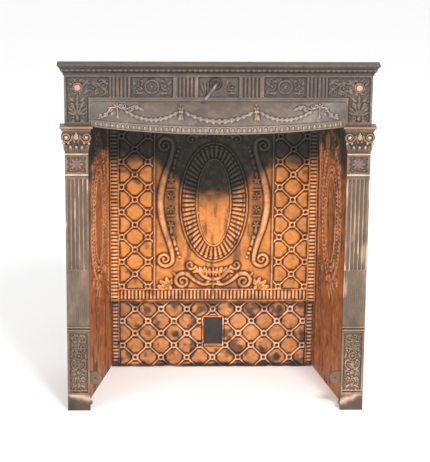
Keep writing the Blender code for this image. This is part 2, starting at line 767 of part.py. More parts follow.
def leg_levels():
    """List heights, side reaches and front reaches of a leg from its foot to its abacus."""
    levels = [(0.0, 0.0, 0.0), (BASE_TOP, 0.0, 0.0)]
    level = BASE_TOP
    for _ in range(2):
        levels += [(level, 0.0, BAND_REACH), (level + BASE_BAND, 0.0, BAND_REACH),
                   (level + BASE_BAND, 0.0, 0.0)]
        level += BASE_BAND + BASE_BAND_SPACE
        levels.append((level, 0.0, 0.0))
    levels += [(NECK_BAND_TOP - NECK_BAND, 0.0, 0.0), (NECK_BAND_TOP - NECK_BAND, 0.0, BAND_REACH),
               (NECK_BAND_TOP, 0.0, BAND_REACH), (NECK_BAND_TOP, 0.0, 0.0),
               (NECK_BEAD_TOP - NECK_BEAD, 0.0, 0.0), (NECK_BEAD_TOP - NECK_BEAD, 0.0, BAND_REACH),
               (NECK_BEAD_TOP, 0.0, BAND_REACH), (NECK_BEAD_TOP, 0.0, 0.0)]
    bell = ABACUS_REACH * 0.35
    seat = LEG_TOP - ABACUS_HEIGHT
    levels += [(BELL_TOP, 0.0, bell * 0.5), (seat, bell, bell)]
    levels += [(seat, ABACUS_REACH * 0.7, ABACUS_REACH * 0.7),
               (LEG_TOP - ABACUS_HEIGHT * 0.5, ABACUS_REACH * 0.75, ABACUS_REACH * 0.75),
               (LEG_TOP - ABACUS_HEIGHT * 0.4, ABACUS_REACH, ABACUS_REACH),
               (LEG_TOP, ABACUS_REACH, ABACUS_REACH)]
    return levels


def cut_leg(body):
    """Hollow the leg from behind, sink its panels and cut its flutes."""
    bm = bmesh.new()
    inner = LEG_INNER + FRAME_WALL
    outer = FRAME_HALF - FRAME_WALL
    add_box(bm, (inner, FRAME_WALL, -OVERSHOOT), (outer, FRAME_DEPTH + OVERSHOOT, LEG_TOP + OVERSHOOT))
    combine(body, object_from(bm, "channel"), "DIFFERENCE")
    bm = bmesh.new()
    add_box(bm, (LEG_INNER - ABACUS_REACH - OVERSHOOT, LEG_INNER_BACK, -OVERSHOOT),
            (LEG_MIDDLE, FRAME_DEPTH + OVERSHOOT, LEG_TOP + OVERSHOOT))
    combine(body, object_from(bm, "jamb_seat"), "DIFFERENCE")
    bm = bmesh.new()
    left = LEG_INNER + BASE_PANEL_MARGIN
    right = FRAME_HALF - BASE_PANEL_MARGIN
    low = FOOT_HEIGHT
    add_box(bm, (left, -OVERSHOOT, low), (right, PANEL_DEPTH, low + BASE_PANEL_HEIGHT))
    margin = BASE_PANEL_MARGIN * 0.8
    add_box(bm, (LEG_INNER + margin, -OVERSHOOT, NECK_BAND_TOP + margin),
            (FRAME_HALF - margin, PANEL_DEPTH, NECK_BEAD_TOP - NECK_BEAD - margin))
    start = LEG_INNER + LEG_FLUTE_MARGIN
    pitch = (LEG_WIDTH - 2 * LEG_FLUTE_MARGIN) / LEG_FLUTES
    for index in range(LEG_FLUTES):
        middle = start + pitch * (index + 0.5)
        half = pitch * 0.40
        spread = half * (1.0 + OVERSHOOT / LEG_FLUTE_DEPTH)
        groove = [(middle - spread, -OVERSHOOT), (middle + spread, -OVERSHOOT),
                  (middle, LEG_FLUTE_DEPTH)]
        add_column(bm, groove, CABLING_TOP, FLUTE_TOP)
    hole = circle_points((FOOT_BOLT_DEPTH, FOOT_BOLT_UP), FOOT_BOLT_SHANK_RADIUS + SCREW_CLEARANCE, 6)
    add_loft(bm, [[(x, y, z) for y, z in hole] for x in (LEG_INNER - OVERSHOOT, inner + OVERSHOOT)])
    toe = [(LEG_INNER - OVERSHOOT, -OVERSHOOT), (LEG_INNER + TOE_CHAMFER, -OVERSHOOT),
           (LEG_INNER - OVERSHOOT, TOE_CHAMFER + OVERSHOOT)]
    add_slab(bm, toe, -OVERSHOOT, FRAME_DEPTH + OVERSHOOT)
    return combine(body, object_from(bm, "leg_cutter"), "DIFFERENCE")


def add_volute(bm, place, centre, hand):
    """Add one volute of the capital: a round disc, its winding and its eye."""
    add_rod(bm, centre[0], centre[1], VOLUTE_RADIUS, -ABACUS_REACH * 0.55, LEG_INNER_BACK, sides=10)
    coil = spiral(centre, VOLUTE_RADIUS * 0.38, VOLUTE_RADIUS * 0.86, 0.5, 1.1, 7, hand=hand)
    add_ridge(bm, place, coil, STEM * 0.9, VOLUTE_RADIUS * 0.18)
    add_boss(bm, place, centre, VOLUTE_RADIUS * 0.3, VOLUTE_RADIUS * 0.26, sides=4)


def add_capital(bm):
    """Add the volutes, the stalks and the leaves of the capital."""
    eye_up = LEG_TOP - ABACUS_HEIGHT - VOLUTE_RADIUS * 1.05
    front = facing_front(-ABACUS_REACH * 0.55)
    for hand in (1, -1):
        def at(share, up, hand=hand):
            return LEG_MIDDLE + hand * LEG_WIDTH * share, up
        add_volute(bm, front, at(0.47, eye_up), hand)
        stalk = bezier(at(0.06, BELL_TOP - BELL_HEIGHT * 0.15), at(0.10, eye_up),
                       at(0.16, eye_up + VOLUTE_RADIUS * 0.5), at(0.28, eye_up + VOLUTE_RADIUS * 0.85), 4)
        add_ridge(bm, facing_front(-ABACUS_REACH * 0.22), stalk, STEM, CAPITAL_LEAF_HEIGHT * 0.6)
        add_leaf(bm, facing_front(-ABACUS_REACH * 0.12), at(0.36, NECK_BEAD_TOP + BELL_HEIGHT * 0.46),
                 at(0.45, BELL_TOP + BELL_HEIGHT * 0.23), CAPITAL_LEAF * 0.85, CAPITAL_LEAF_HEIGHT * 0.85,
                 belly=0.6)
    for hand in (-1, 0, 1):
        foot = (LEG_MIDDLE + hand * CAPITAL_LEAF_SPACE, NECK_BEAD_TOP + BELL_HEIGHT * 0.15)
        rise = BELL_HEIGHT * (0.08 if hand else 0.19)
        tip = (LEG_MIDDLE + hand * CAPITAL_LEAF_SPACE * 1.5, BELL_TOP + rise)
        add_leaf(bm, facing_front(-GAP), foot, tip, CAPITAL_LEAF, CAPITAL_LEAF_HEIGHT, belly=0.7)
    add_leaf(bm, facing_front(-ABACUS_REACH * 0.22), (LEG_MIDDLE, BELL_TOP + BELL_HEIGHT * 0.15),
             (LEG_MIDDLE, LEG_TOP - ABACUS_HEIGHT * 0.4), CAPITAL_LEAF * 0.76, CAPITAL_LEAF_HEIGHT * 0.92,
             belly=0.55)


def add_flower(bm, place, centre, reach, petals, height):
    """Add a flat flower of pointed petals around a button."""
    for index in range(petals):
        angle = 2 * math.pi * (index + 0.5) / petals
        start = (centre[0] + reach * 0.22 * math.cos(angle), centre[1] + reach * 0.22 * math.sin(angle))
        tip = (centre[0] + reach * math.cos(angle), centre[1] + reach * 0.8 * math.sin(angle))
        add_leaf(bm, place, start, tip, reach * 0.40, height, belly=0.55)
    add_boss(bm, place, centre, reach * 0.2, height * 1.1, sides=4)


def add_base_arabesque(bm, place):
    """Add the urn, the scrolls and the flower of the base panel."""
    def at(out, share):
        return LEG_MIDDLE + LEG_WIDTH * out, FOOT_HEIGHT + BASE_PANEL_HEIGHT * share
    flower = (LEG_MIDDLE, FOOT_HEIGHT + BASE_FLOWER_RISE)
    vase = (LEG_MIDDLE, FOOT_HEIGHT + VASE_RISE)
    add_flower(bm, place, flower, BASE_FLOWER_REACH, 4, PANEL_DEPTH)
    add_fan(bm, place, (LEG_MIDDLE, flower[1] + BASE_FLOWER_REACH * 1.5), BASE_FAN_REACH * 0.88, 3, 80.0,
            LEAFLET, PANEL_DEPTH)
    add_boss(bm, place, vase, VASE_RADIUS, PANEL_DEPTH, sides=6, stretch=1.25)
    add_fan(bm, place, (LEG_MIDDLE, vase[1] + VASE_RADIUS * 2.2), BASE_FAN_REACH, 5, 130.0, LEAFLET * 0.87,
            PANEL_DEPTH)
    for hand in (1, -1):
        for share, fold in ((0.12, 1), (0.51, -1)):
            heart = (LEG_MIDDLE + hand * BASE_SCROLL_OUT, FOOT_HEIGHT + BASE_PANEL_HEIGHT * share)
            coil = spiral(heart, BASE_SCROLL * 0.3, BASE_SCROLL, 0.5 + 0.25 * fold, 0.9 * fold, 4,
                          hand=hand)
            add_ridge(bm, place, coil, STEM, PANEL_DEPTH * 0.85)
        add_leaf(bm, place, at(hand * 0.10, 0.28), at(hand * 0.33, 0.35), LEAFLET, PANEL_DEPTH * 0.9)
        add_leaf(bm, place, at(hand * 0.07, 0.086), at(hand * 0.31, 0.037), LEAFLET * 0.87,
                 PANEL_DEPTH * 0.9)


def carve_leg(body):
    """Raise the capital, the flower, the cabling, the base panel and the fixing ear."""
    bm = bmesh.new()
    add_capital(bm)
    ground = facing_front(PANEL_DEPTH)
    neck_middle = (NECK_BAND_TOP + NECK_BEAD_TOP - NECK_BEAD) / 2
    add_flower(bm, ground, (LEG_MIDDLE, neck_middle), NECK_FLOWER_REACH, 6, PANEL_DEPTH)
    start = LEG_INNER + LEG_FLUTE_MARGIN
    pitch = (LEG_WIDTH - 2 * LEG_FLUTE_MARGIN) / CABLE_RIBS
    for index in range(CABLE_RIBS):
        middle = start + pitch * (index + 0.5)
        line = [(middle, SHAFT_FOOT + pitch), (middle, CABLING_TOP - pitch / 2)]
        add_ridge(bm, facing_front(0.0), line, pitch * 0.75, CABLE_RELIEF)
    add_base_arabesque(bm, ground)
    inner = LEG_INNER - EAR_WIDTH
    radius = EAR_HEIGHT / 2
    outline = [(LEG_INNER + FRAME_WALL / 2, EAR_LOW), (LEG_INNER + FRAME_WALL / 2, EAR_LOW + EAR_HEIGHT)]
    for index in range(7):
        angle = math.pi / 2 + math.pi * index / 6
        outline.append((inner + radius + radius * math.cos(angle),
                        EAR_LOW + radius + radius * math.sin(angle)))
    add_slab(bm, outline, LEG_INNER_BACK - EAR_THICKNESS, LEG_INNER_BACK)
    combine(body, object_from(bm, "leg_relief"), "UNION")
    bm = bmesh.new()
    add_rod(bm, inner + radius * 0.75, EAR_LOW + radius, EAR_HOLE_RADIUS,
            LEG_INNER_BACK - EAR_THICKNESS - OVERSHOOT, LEG_INNER_BACK + OVERSHOOT, sides=6)
    return combine(body, object_from(bm, "ear_hole"), "DIFFERENCE")


def make_leg():
    """Model the right leg: foot, base panel, fluted shaft, neck and capital."""
    bm = bmesh.new()
    rings = []
    for level, side_reach, front_reach in leg_levels():
        left = LEG_INNER - side_reach
        right = FRAME_HALF + side_reach
        front = -front_reach
        back = FRAME_DEPTH
        rings.append([(left, front, level), (right, front, level), (right, back, level),
                      (left, back, level)])
    add_loft(bm, rings)
    body = object_from(bm, "leg")
    cut_leg(body)
    return carve_leg(body)


def hood_bow(along):
    """Return how far the plan of the hood has bowed out at a place, from 0 to 1."""
    radius = (HOOD_HALF ** 2 + HOOD_BULGE ** 2) / (2 * HOOD_BULGE)
    reach = math.sqrt(max(radius ** 2 - along ** 2, 0.0)) - (radius - HOOD_BULGE)
    return max(reach, 0.0) / HOOD_BULGE


def hood_stations():
    """List heights down the hood with the share of the bow reached at each."""
    rim_top = HOOD_RIM_FOOT + HOOD_RIM_HEIGHT
    waist = HOOD_TOP - (HOOD_TOP - rim_top) * HOOD_WAIST_DOWN
    return [(HOOD_TOP, 0.0), (waist, HOOD_WAIST_SHARE), (rim_top, HOOD_FIELD_SHARE), (HOOD_RIM_FOOT, 1.0)]


def hood_slope(level):
    """Return how much of the bow is reached at a height."""
    stations = hood_stations()
    for (high, near), (low, far) in zip(stations, stations[1:]):
        if level >= low or (low, far) == stations[-1]:
            share = (high - level) / (high - low)
            return near + (far - near) * max(share, 0.0)
    return 1.0


def hood_depth(along, level):
    """Return the depth of the hood's outer face."""
    rim_top = HOOD_RIM_FOOT + HOOD_RIM_HEIGHT
    step = HOOD_RIM_REACH if level < rim_top else 0.0
    return -HOOD_BULGE * hood_bow(along) * hood_slope(level) - step


def facing_shell(body):
    """Split a shell into triangles and return a mapping from along, up and height to its front."""
    bm = bmesh.new()
    bm.from_mesh(body.data)
    bmesh.ops.triangulate(bm, faces=bm.faces)
    bm.to_mesh(body.data)
    tree = BVHTree.FromBMesh(bm)
    bm.free()

    def place(along, up, height):
        spot, normal, _, _ = tree.ray_cast(Vector((along, -FRAME_WIDTH, up)), Vector((0.0, 1.0, 0.0)))
        return spot + normal * height
    return place


def hood_section(along):
    """List the section of the hood at a place along it, round from its top edge."""
    rim_top = HOOD_RIM_FOOT + HOOD_RIM_HEIGHT
    field = [level for level, _ in hood_stations()[:-1]]
    outer = [(hood_depth(along, level), level) for level in field]
    outer += [(outer[-1][0] - HOOD_RIM_REACH, rim_top), (hood_depth(along, HOOD_RIM_FOOT), HOOD_RIM_FOOT)]
    inner = [(hood_depth(along, level) + HOOD_WALL, level) for level in reversed(field[1:])]
    inner.insert(0, (hood_depth(along, HOOD_RIM_FOOT) + HOOD_WALL, HOOD_RIM_FOOT))
    flange_front = FRIEZE_PLATE + GAP
    flange_back = flange_front + HOOD_WALL
    flange_top = HOOD_TOP + HOOD_FLANGE
    flange = [(flange_back, HOOD_TOP - HOOD_WALL), (flange_back, flange_top), (flange_front, flange_top),
              (flange_front, HOOD_TOP)]
    return [(along, depth, level) for depth, level in outer + inner + flange]


def add_swag(bm, place, start, end, level, drop):
    """Add a hanging garland that swells husk by husk."""
    points = []
    widths = []
    steps = HUSK_COUNT * 2
    for step in range(steps + 1):
        share = step / steps
        along = start + (end - start) * share
        up = level - drop * (1.0 - (2.0 * share - 1.0) ** 2)
        points.append((along, up))
        swell = SWAG_BAND + SWAG_SWELL * (1.0 - (2.0 * share - 1.0) ** 2)
        widths.append(swell * (1.25 if step % 2 else 0.7))
    add_ridge(bm, place, points, widths, HOOD_RELIEF)


def add_bow(bm, place, centre, side):
    """Add the bow of ribbon with its flower and its scrolling ends."""
    def at(out, down):
        return centre[0] + side * RIBBON_REACH * out, centre[1] - RIBBON_REACH * down
    add_flower(bm, place, centre, BOW_FLOWER, 4, HOOD_RELIEF)
    for hand in (1, -1):
        middle = (centre[0] + hand * BOW_LOOP_OUT, centre[1])
        coil = spiral(middle, BOW_LOOP * 0.45, BOW_LOOP, 0.5, 0.85, 4, hand=-hand)
        add_ridge(bm, place, coil, STEM, HOOD_RELIEF * 0.8)
    tail = bezier(at(0.60, 0.24), at(0.76, 0.08), at(0.88, 0.24), at(1.0, 0.40), 3)
    add_ridge(bm, place, tail, STEM, HOOD_RELIEF * 0.8)
    add_boss(bm, place, (centre[0], centre[1] - BOW_FLOWER * 2), BOW_LOOP / 2, HOOD_RELIEF * 0.9, sides=5,
             stretch=1.7)


def carve_hood(body):
    """Raise the garlands, the bows, the tassels and the egg moulding of the hood."""
    place = facing_shell(body)
    bm = bmesh.new()
    rim_top = HOOD_RIM_FOOT + HOOD_RIM_HEIGHT
    tassel_x = HOOD_HALF * TASSEL_SHARE
    bow_x = HOOD_HALF * BOW_SHARE
    level = rim_top + SWAG_RISE + SWAG_DROP_BELOW
    add_swag(bm, place, -tassel_x + SWAG_GAP, tassel_x - SWAG_GAP, level, SWAG_RISE)
    for side in (1, -1):
        add_swag(bm, place, side * (tassel_x + SWAG_GAP), side * (bow_x - SWAG_GAP * 1.5), level, SWAG_RISE)
        add_bow(bm, place, (side * bow_x, level + BOW_FLOWER * 0.35), side)
        knot = (side * tassel_x, level + TASSEL_RADIUS * 1.2)
        add_boss(bm, place, knot, TASSEL_RADIUS, HOOD_RELIEF, sides=6)
        foot = (knot[0], knot[1] - TASSEL_RADIUS * 0.8)
        for hand in (-1, 0, 1):
            tip = (knot[0] + hand * TASSEL_RADIUS * 1.2, foot[1] - TASSEL_LENGTH)
            add_leaf(bm, place, foot, tip, TASSEL_RADIUS * 0.92, HOOD_RELIEF * 0.88, belly=0.6)
    pitch = 2 * (HOOD_HALF - HOOD_WALL) / EGG_COUNT
    for index in range(EGG_COUNT):
        along = -HOOD_HALF + HOOD_WALL + pitch * (index + 0.5)
        centre = (along, HOOD_RIM_FOOT + HOOD_RIM_HEIGHT * 0.52)
        half = HOOD_RIM_HEIGHT * 0.36
        add_leaf(bm, place, (along, centre[1] + half), (along, centre[1] - half), pitch * 0.62,
                 RELIEF / 2, belly=0.45)
    combine(body, object_from(bm, "hood_relief"), "UNION")
    return body


def make_hood():
    """Model the bowed hood as a shell with a flange that seats behind the frieze."""
    bm = bmesh.new()
    rings = []
    for index in range(HOOD_SECTIONS + 1):
        along = HOOD_HALF * (2.0 * index / HOOD_SECTIONS - 1.0)
        rings.append(hood_section(along))
    add_loft(bm, rings)
    body = carve_hood(object_from(bm, "hood"))
    bm = bmesh.new()
    reach = ABACUS_REACH + GAP
    for side in (1, -1):
        low, high = sorted((side * (LEG_INNER - reach), side * FRAME_HALF))
        add_box(bm, (low, -reach, HOOD_RIM_FOOT - OVERSHOOT), (high, FRAME_DEPTH + OVERSHOOT, DROP_FOOT))
    return combine(body, object_from(bm, "abacus_notch"), "DIFFERENCE")


def add_bars(bm, place, side, foot, top, outer):
    """Add the short bars of one side border and the bead line beside them."""
    count = int(round((top - foot) / BAR_PITCH))
    near, far = sorted((side * BAR_INNER, side * outer))
    add_comb(bm, place, ((near, foot), (far, top)), count, RELIEF * 0.9)
    line = sided([(BORDER_LINE, foot), (BORDER_LINE, top)], side)
    add_ridge(bm, place, line, BORDER_BEAD, RELIEF * 0.7)


def add_lattice(bm, place, nodes, bars):
    """Add ringed studs and the diagonal bars between them."""
    for node in nodes:
        add_boss(bm, place, node, RING_RADIUS, RELIEF, sides=6, crest=0.62, dimple=RELIEF * 0.8)
    for start, end in bars:
        first = Vector(start)
        second = Vector(end)
        step = (second - first).normalized() * RING_RADIUS * 1.12
        line = [tuple(first + step), tuple(second - step)]
        add_ridge(bm, place, line, LATTICE_BAR, RELIEF * 0.62)


def side_lattice(side):
    """List the studs and bars of one side border of the upper plate."""
    nodes = []
    bars = []
    for row in range(LATTICE_ROWS):
        level = LATTICE_LOW + LATTICE_PITCH * row
        if row % 2:
            middle = (side * LATTICE_MIDDLE, level)
            nodes.append(middle)
            for hand in (1, -1):
                along = side * (LATTICE_MIDDLE + hand * LATTICE_PITCH)
                for step in (1, -1):
                    if 0 <= row + step < LATTICE_ROWS:
                        bars.append((middle, (along, level + step * LATTICE_PITCH)))
        else:
            for hand in (1, -1):
                nodes.append((side * (LATTICE_MIDDLE + hand * LATTICE_PITCH), level))
    return nodes, bars


def ellipse_points(half_width, half_height, count):
    """List points round the middle of the upper plate."""
    return circle_points((0.0, ORNAMENT_MIDDLE), half_width, count, 0.0, half_height / half_width)


def add_gadroons(bm, place):
    """Add the oval wreath of radial reeds with its two rims."""
    count = OVAL_REEDS * 2
    inner = ellipse_points(OVAL_INNER_WIDTH, OVAL_INNER_HEIGHT, count)
    outer = ellipse_points(OVAL_HALF_WIDTH, OVAL_HALF_HEIGHT, count)
    rows = []
    for index in range(count):
        crest = RELIEF * (1.25 if index % 2 else 0.45)
        rows.append([bm.verts.new(place(*inner[index], -ROOT)),
                     bm.verts.new(place(*inner[index], crest * 0.6)),
                     bm.verts.new(place(*outer[index], crest)), bm.verts.new(place(*outer[index], -ROOT))])
    for index in range(count):
        first = rows[index]
        second = rows[(index + 1) % count]
        for step in range(4):
            after = (step + 1) % 4
            bm.faces.new((first[step], first[after], second[after], second[step]))


def scroll_band():
    """List the centre line of the right C-shaped band, with its volutes."""
    heart = (SCROLL_X, ORNAMENT_MIDDLE + SCROLL_RISE)
    coil = spiral(heart, SCROLL_EYE, SCROLL_OUTER, -0.75, 1.25, 9, hand=1.0)
    neck = coil[-1]
    waist = (BAND_MIDDLE_X, ORNAMENT_MIDDLE)
    lead = (neck[0], neck[1] - SCROLL_RISE * 0.45)
    follow = (waist[0], waist[1] + SCROLL_RISE * 0.35)
    upper = coil + bezier(neck, lead, follow, waist, 4)
    return upper + flipped(upper, ORNAMENT_MIDDLE)[1:]


def add_spray(bm, place, fold):
    """Add the acanthus spray and its scrolls between the oval and one reeded strip."""
    def at(side, out, down):
        return side * SPRAY_SCROLL_X * out, ORNAMENT_MIDDLE - fold * SPRAY_SCROLL_DOWN * down
    for side in (1, -1):
        start_turn = 0.0 if side > 0 else 0.5
        coil = spiral(at(side, 1.0, 1.0), SPRAY_SCROLL * 0.32, SPRAY_SCROLL, start_turn, 1.0, 6,
                      hand=-side * fold)
        add_ridge(bm, place, coil, SPRAY_BAND, RELIEF)
        tail = bezier(at(side, 0.75, 1.0), at(side, 0.53, 1.154), at(side, 0.20, 1.135),
                      at(side, 0.0, 1.02), 4)
        add_ridge(bm, place, tail, [SPRAY_BAND, SPRAY_BAND, SPRAY_BAND * 0.9, SPRAY_BAND * 0.55],
                  RELIEF * 0.9)
        heart = (side * SPRAY_CURL_X, ORNAMENT_MIDDLE - fold * SPRAY_CURL_DOWN)
        small = spiral(heart, SPRAY_CURL * 0.33, SPRAY_CURL, 0.25, 0.9, 4, hand=side * fold)
        add_ridge(bm, place, small, SPRAY_CURL_BAND, RELIEF * 0.9)
        add_leaf(bm, place, at(side, 0.08, 0.942), at(side, 0.44, 0.865), SPRAY_LEAF, RELIEF)
        add_leaf(bm, place, at(side, 0.05, 0.971), at(side, 0.35, 1.0), SPRAY_LEAFLET, RELIEF)
        add_leaf(bm, place, at(side, 1.57, 1.034), at(side, 1.92, 1.125), SPRAY_LEAF, RELIEF)
        add_leaf(bm, place, at(side, 1.52, 0.99), at(side, 1.77, 0.913), SPRAY_LEAFLET, RELIEF)
    add_leaf(bm, place, at(1, 0.0, 0.962), at(1, 0.0, 0.812), SPRAY_LEAF * 0.9, RELIEF * 1.1)


def add_field_ornament(bm, place):
    """Add what surrounds the oval: bands, husks, acanthus and reeded strips."""
    for side in (1, -1):
        add_ridge(bm, place, sided(scroll_band(), side), SCROLL_BAND, RELIEF)
        frame = sided([(FIELD_HALF, UPPER_FOOT + EDGE_MARGIN),
                       (FIELD_HALF, ORNAMENT_TOP - EDGE_MARGIN)], side)
        add_ridge(bm, place, frame, FIELD_LINE, RELIEF * 0.6)
        for step in range(-2, 3):
            level = ORNAMENT_MIDDLE + step * HUSK_STEP
            along = side * (HUSK_X - HUSK_LEAN * abs(step) ** 1.7)
            add_leaf(bm, place, (along, level + HUSK_LENGTH / 2), (along, level - HUSK_LENGTH / 2),
                     HUSK_WIDTH, RELIEF, belly=0.35)
    for fold in (1, -1):
        add_spray(bm, place, fold)
        strip_low = REED_FOOT if fold > 0 else 2 * ORNAMENT_MIDDLE - REED_FOOT - REED_STRIP
        corners = ((-REED_HALF, strip_low), (REED_HALF, strip_low + REED_STRIP))
        add_comb(bm, place, corners, int(round(2 * REED_HALF / REED_PITCH)), RELIEF * 0.9, upright=True)


def make_fireback_upper():
    """Model the upper fireback plate with its oval, scrolls and lattice borders."""
    half = FIREBACK_HALF - GAP
    bm = bmesh.new()
    rib = half - SIDE_RIB
    plan = [(-half, UPPER_FRONT), (half, UPPER_FRONT), (half, PANEL_BACK), (rib, PANEL_BACK),
            (rib, UPPER_FRONT + UPPER_PLATE), (-rib, UPPER_FRONT + UPPER_PLATE), (-rib, PANEL_BACK),
            (-half, PANEL_BACK)]
    add_column(bm, plan, UPPER_FOOT, FIREBOX_TOP)
    body = object_from(bm, "fireback_upper")
    bm = bmesh.new()
    for side in (1, -1):
        low, high = sorted((side * (rib - OVERSHOOT), side * (half + OVERSHOOT)))
        add_box(bm, (low, UPPER_FRONT + UPPER_PLATE, UPPER_FOOT - OVERSHOOT),
                (high, PANEL_BACK + OVERSHOOT, LOWER_TOP + GAP))
    combine(body, object_from(bm, "rib_end"), "DIFFERENCE")
    place = facing_front(UPPER_FRONT)
    bm = bmesh.new()
    for side in (1, -1):
        add_bars(bm, place, side, UPPER_FOOT + EDGE_MARGIN, ORNAMENT_TOP - EDGE_MARGIN, BAR_OUTER)
        nodes, bars = side_lattice(side)
        add_lattice(bm, place, nodes, bars)
    add_gadroons(bm, place)
    add_field_ornament(bm, place)
    combine(body, object_from(bm, "fireback_relief"), "UNION")
    return body


def lower_lattice():
    """List the studs and bars of the lower plate, clear of the pipe opening."""
    def blocked(along, level):
        margin = RING_RADIUS
        inside = PIPE_LEFT - margin < along < PIPE_RIGHT + margin
        return inside and PIPE_FOOT - margin < level < PIPE_TOP + margin
    columns = int(BORDER_LINE / LATTICE_PITCH)
    nodes = []
    bars = []
    for row in range(LOWER_ROWS):
        level = LOWER_ROW_LOW + LATTICE_PITCH * row
        for column in range(-columns, columns + 1):
            if (column + row) % 2:
                continue
            along = column * LATTICE_PITCH
            if blocked(along, level):
                continue
            nodes.append((along, level))
            for hand in (1, -1):
                target = (along + hand * LATTICE_PITCH, level + LATTICE_PITCH)
                middle = ((along + target[0]) / 2, (level + target[1]) / 2)
                if row + 1 < LOWER_ROWS and abs(column + hand) <= columns and not (
                        blocked(*target) or blocked(*middle)):
                    bars.append(((along, level), target))
    return nodes, bars


def make_fireback_lower():
    """Model the lower fireback plate with its lattice and the pipe opening."""
    bm = bmesh.new()
    add_box(bm, (-LOWER_HALF, LOWER_FRONT, 0.0), (LOWER_HALF, PANEL_BACK, LOWER_TOP))
    body = object_from(bm, "fireback_lower")
    bm = bmesh.new()
    place = facing_front(LOWER_FRONT)
    top = UPPER_FOOT - EDGE_MARGIN
    for side in (1, -1):
        add_bars(bm, place, side, EDGE_MARGIN, top, LOWER_HALF - EDGE_MARGIN)
    nodes, bars = lower_lattice()
    add_lattice(bm, place, nodes, bars)
    rim = PIPE_FRAME / 2
    corners = [(PIPE_LEFT - rim, PIPE_FOOT - rim), (PIPE_RIGHT + rim, PIPE_FOOT - rim),
               (PIPE_RIGHT + rim, PIPE_TOP + rim), (PIPE_LEFT - rim, PIPE_TOP + rim)]
    add_ridge(bm, place, corners, PIPE_FRAME, RELIEF * 0.5, top=0.5, closed=True)
    combine(body, object_from(bm, "lower_relief"), "UNION")
    bm = bmesh.new()
    add_box(bm, (PIPE_LEFT, LOWER_FRONT - RELIEF - OVERSHOOT, PIPE_FOOT),
            (PIPE_RIGHT, PANEL_BACK + OVERSHOOT, PIPE_TOP))
    return combine(body, object_from(bm, "pipe_opening"), "DIFFERENCE")


def make_pipe_cover():
    """Model the plain sheet that closes the pipe opening from behind."""
    bm = bmesh.new()
    margin = PIPE_COVER_MARGIN
    add_box(bm, (PIPE_LEFT - margin, BACK_FLANGE_FRONT, PIPE_FOOT - margin),
            (PIPE_RIGHT + margin, BACK_FLANGE_FRONT + PIPE_COVER_PLATE, PIPE_TOP + margin))
    return object_from(bm, "pipe_cover")


def jamb_line():
    """Return where the inner face of the right jamb starts, its direction and its normal."""
    start = Vector((JAMB_MOUTH_HALF, FRAME_DEPTH))
    end = Vector((FIREBACK_HALF, UPPER_FRONT - GAP))
    direction = (end - start).normalized()
    inward = Vector((-direction.y, direction.x))
    return start, end, direction, inward


def on_jamb(along, up, height):
    """Map a place on the right jamb, measured from its front, to a point."""
    start, _, direction, inward = jamb_line()
    spot = start + direction * along + inward * height
    return Vector((spot.x, spot.y, up))


def add_bead_row(bm, place, points, bead):
    """Add a line that swells into a bead at every other point."""
    widths = [bead if index % 2 else bead * 0.4 for index in range(len(points))]
    add_ridge(bm, place, points, widths, RELIEF * 0.8)


def add_jamb_ornament(bm):
    """Add the long oval with its beaded rim, the leaf above and the drop below."""
    centre = (JAMB_OVAL_ALONG, ORNAMENT_MIDDLE)
    stretch = JAMB_OVAL_HALF_HEIGHT / JAMB_OVAL_HALF_WIDTH
    rim = circle_points(centre, JAMB_OVAL_HALF_WIDTH, 18, 0.0, stretch)
    add_ridge(bm, on_jamb, rim, 0.0050, RELIEF, closed=True)
    start, end, _, _ = jamb_line()
    length = (end - start).length
    top = centre[1] + JAMB_OVAL_HALF_HEIGHT
    foot = centre[1] - JAMB_OVAL_HALF_HEIGHT
    for hand in (1, -1):
        offset = JAMB_OVAL_HALF_WIDTH + JAMB_BEADS_SPACING * 1.6
        points = []
        count = 14
        for index in range(count + 1):
            angle = math.radians(-62.0 + 124.0 * index / count)
            points.append((centre[0] + hand * offset * math.cos(angle),
                           centre[1] + (JAMB_OVAL_HALF_HEIGHT + JAMB_BEAD_RISE) * math.sin(angle)))
        add_bead_row(bm, on_jamb, points, JAMB_BEAD)
        high = top + JAMB_SIDE_LEAF * 0.4
        add_leaf(bm, on_jamb, (centre[0] + hand * JAMB_SIDE_LEAF * 0.18, high),
                 (centre[0] + hand * JAMB_SIDE_LEAF * 0.55,
                  high + JAMB_SIDE_LEAF), JAMB_SIDE_LEAF_WIDTH, RELIEF)
        low = foot - JAMB_SIDE_LEAF * 0.8
        add_leaf(bm, on_jamb, (centre[0] + hand * JAMB_SIDE_LEAF * 0.11, low),
                 (centre[0] + hand * JAMB_SIDE_LEAF * 0.62, low - JAMB_SIDE_LEAF * 0.4),
                 JAMB_SIDE_LEAF_WIDTH * 0.9, RELIEF)
        border = length / 2 + hand * (length / 2 - JAMB_BORDER_MARGIN)
        add_ridge(bm, on_jamb, [(border, centre[1] - JAMB_BORDER_DOWN), (border, ORNAMENT_TOP)], FIELD_LINE,
                  RELIEF * 0.6)
    stem = top + JAMB_SIDE_LEAF_WIDTH
    add_leaf(bm, on_jamb, (centre[0], stem), (centre[0], stem + JAMB_LEAF_HEIGHT), JAMB_LEAF_WIDTH,
             RELIEF * 1.2, belly=0.4)
    knob = foot - JAMB_KNOB_DOWN
    add_boss(bm, on_jamb, (centre[0], knob), JAMB_KNOB, RELIEF, sides=8)
    drop = knob - JAMB_KNOB * 1.5
    add_leaf(bm, on_jamb, (centre[0], drop), (centre[0], drop - JAMB_DROP_LENGTH), JAMB_DROP_WIDTH, RELIEF)


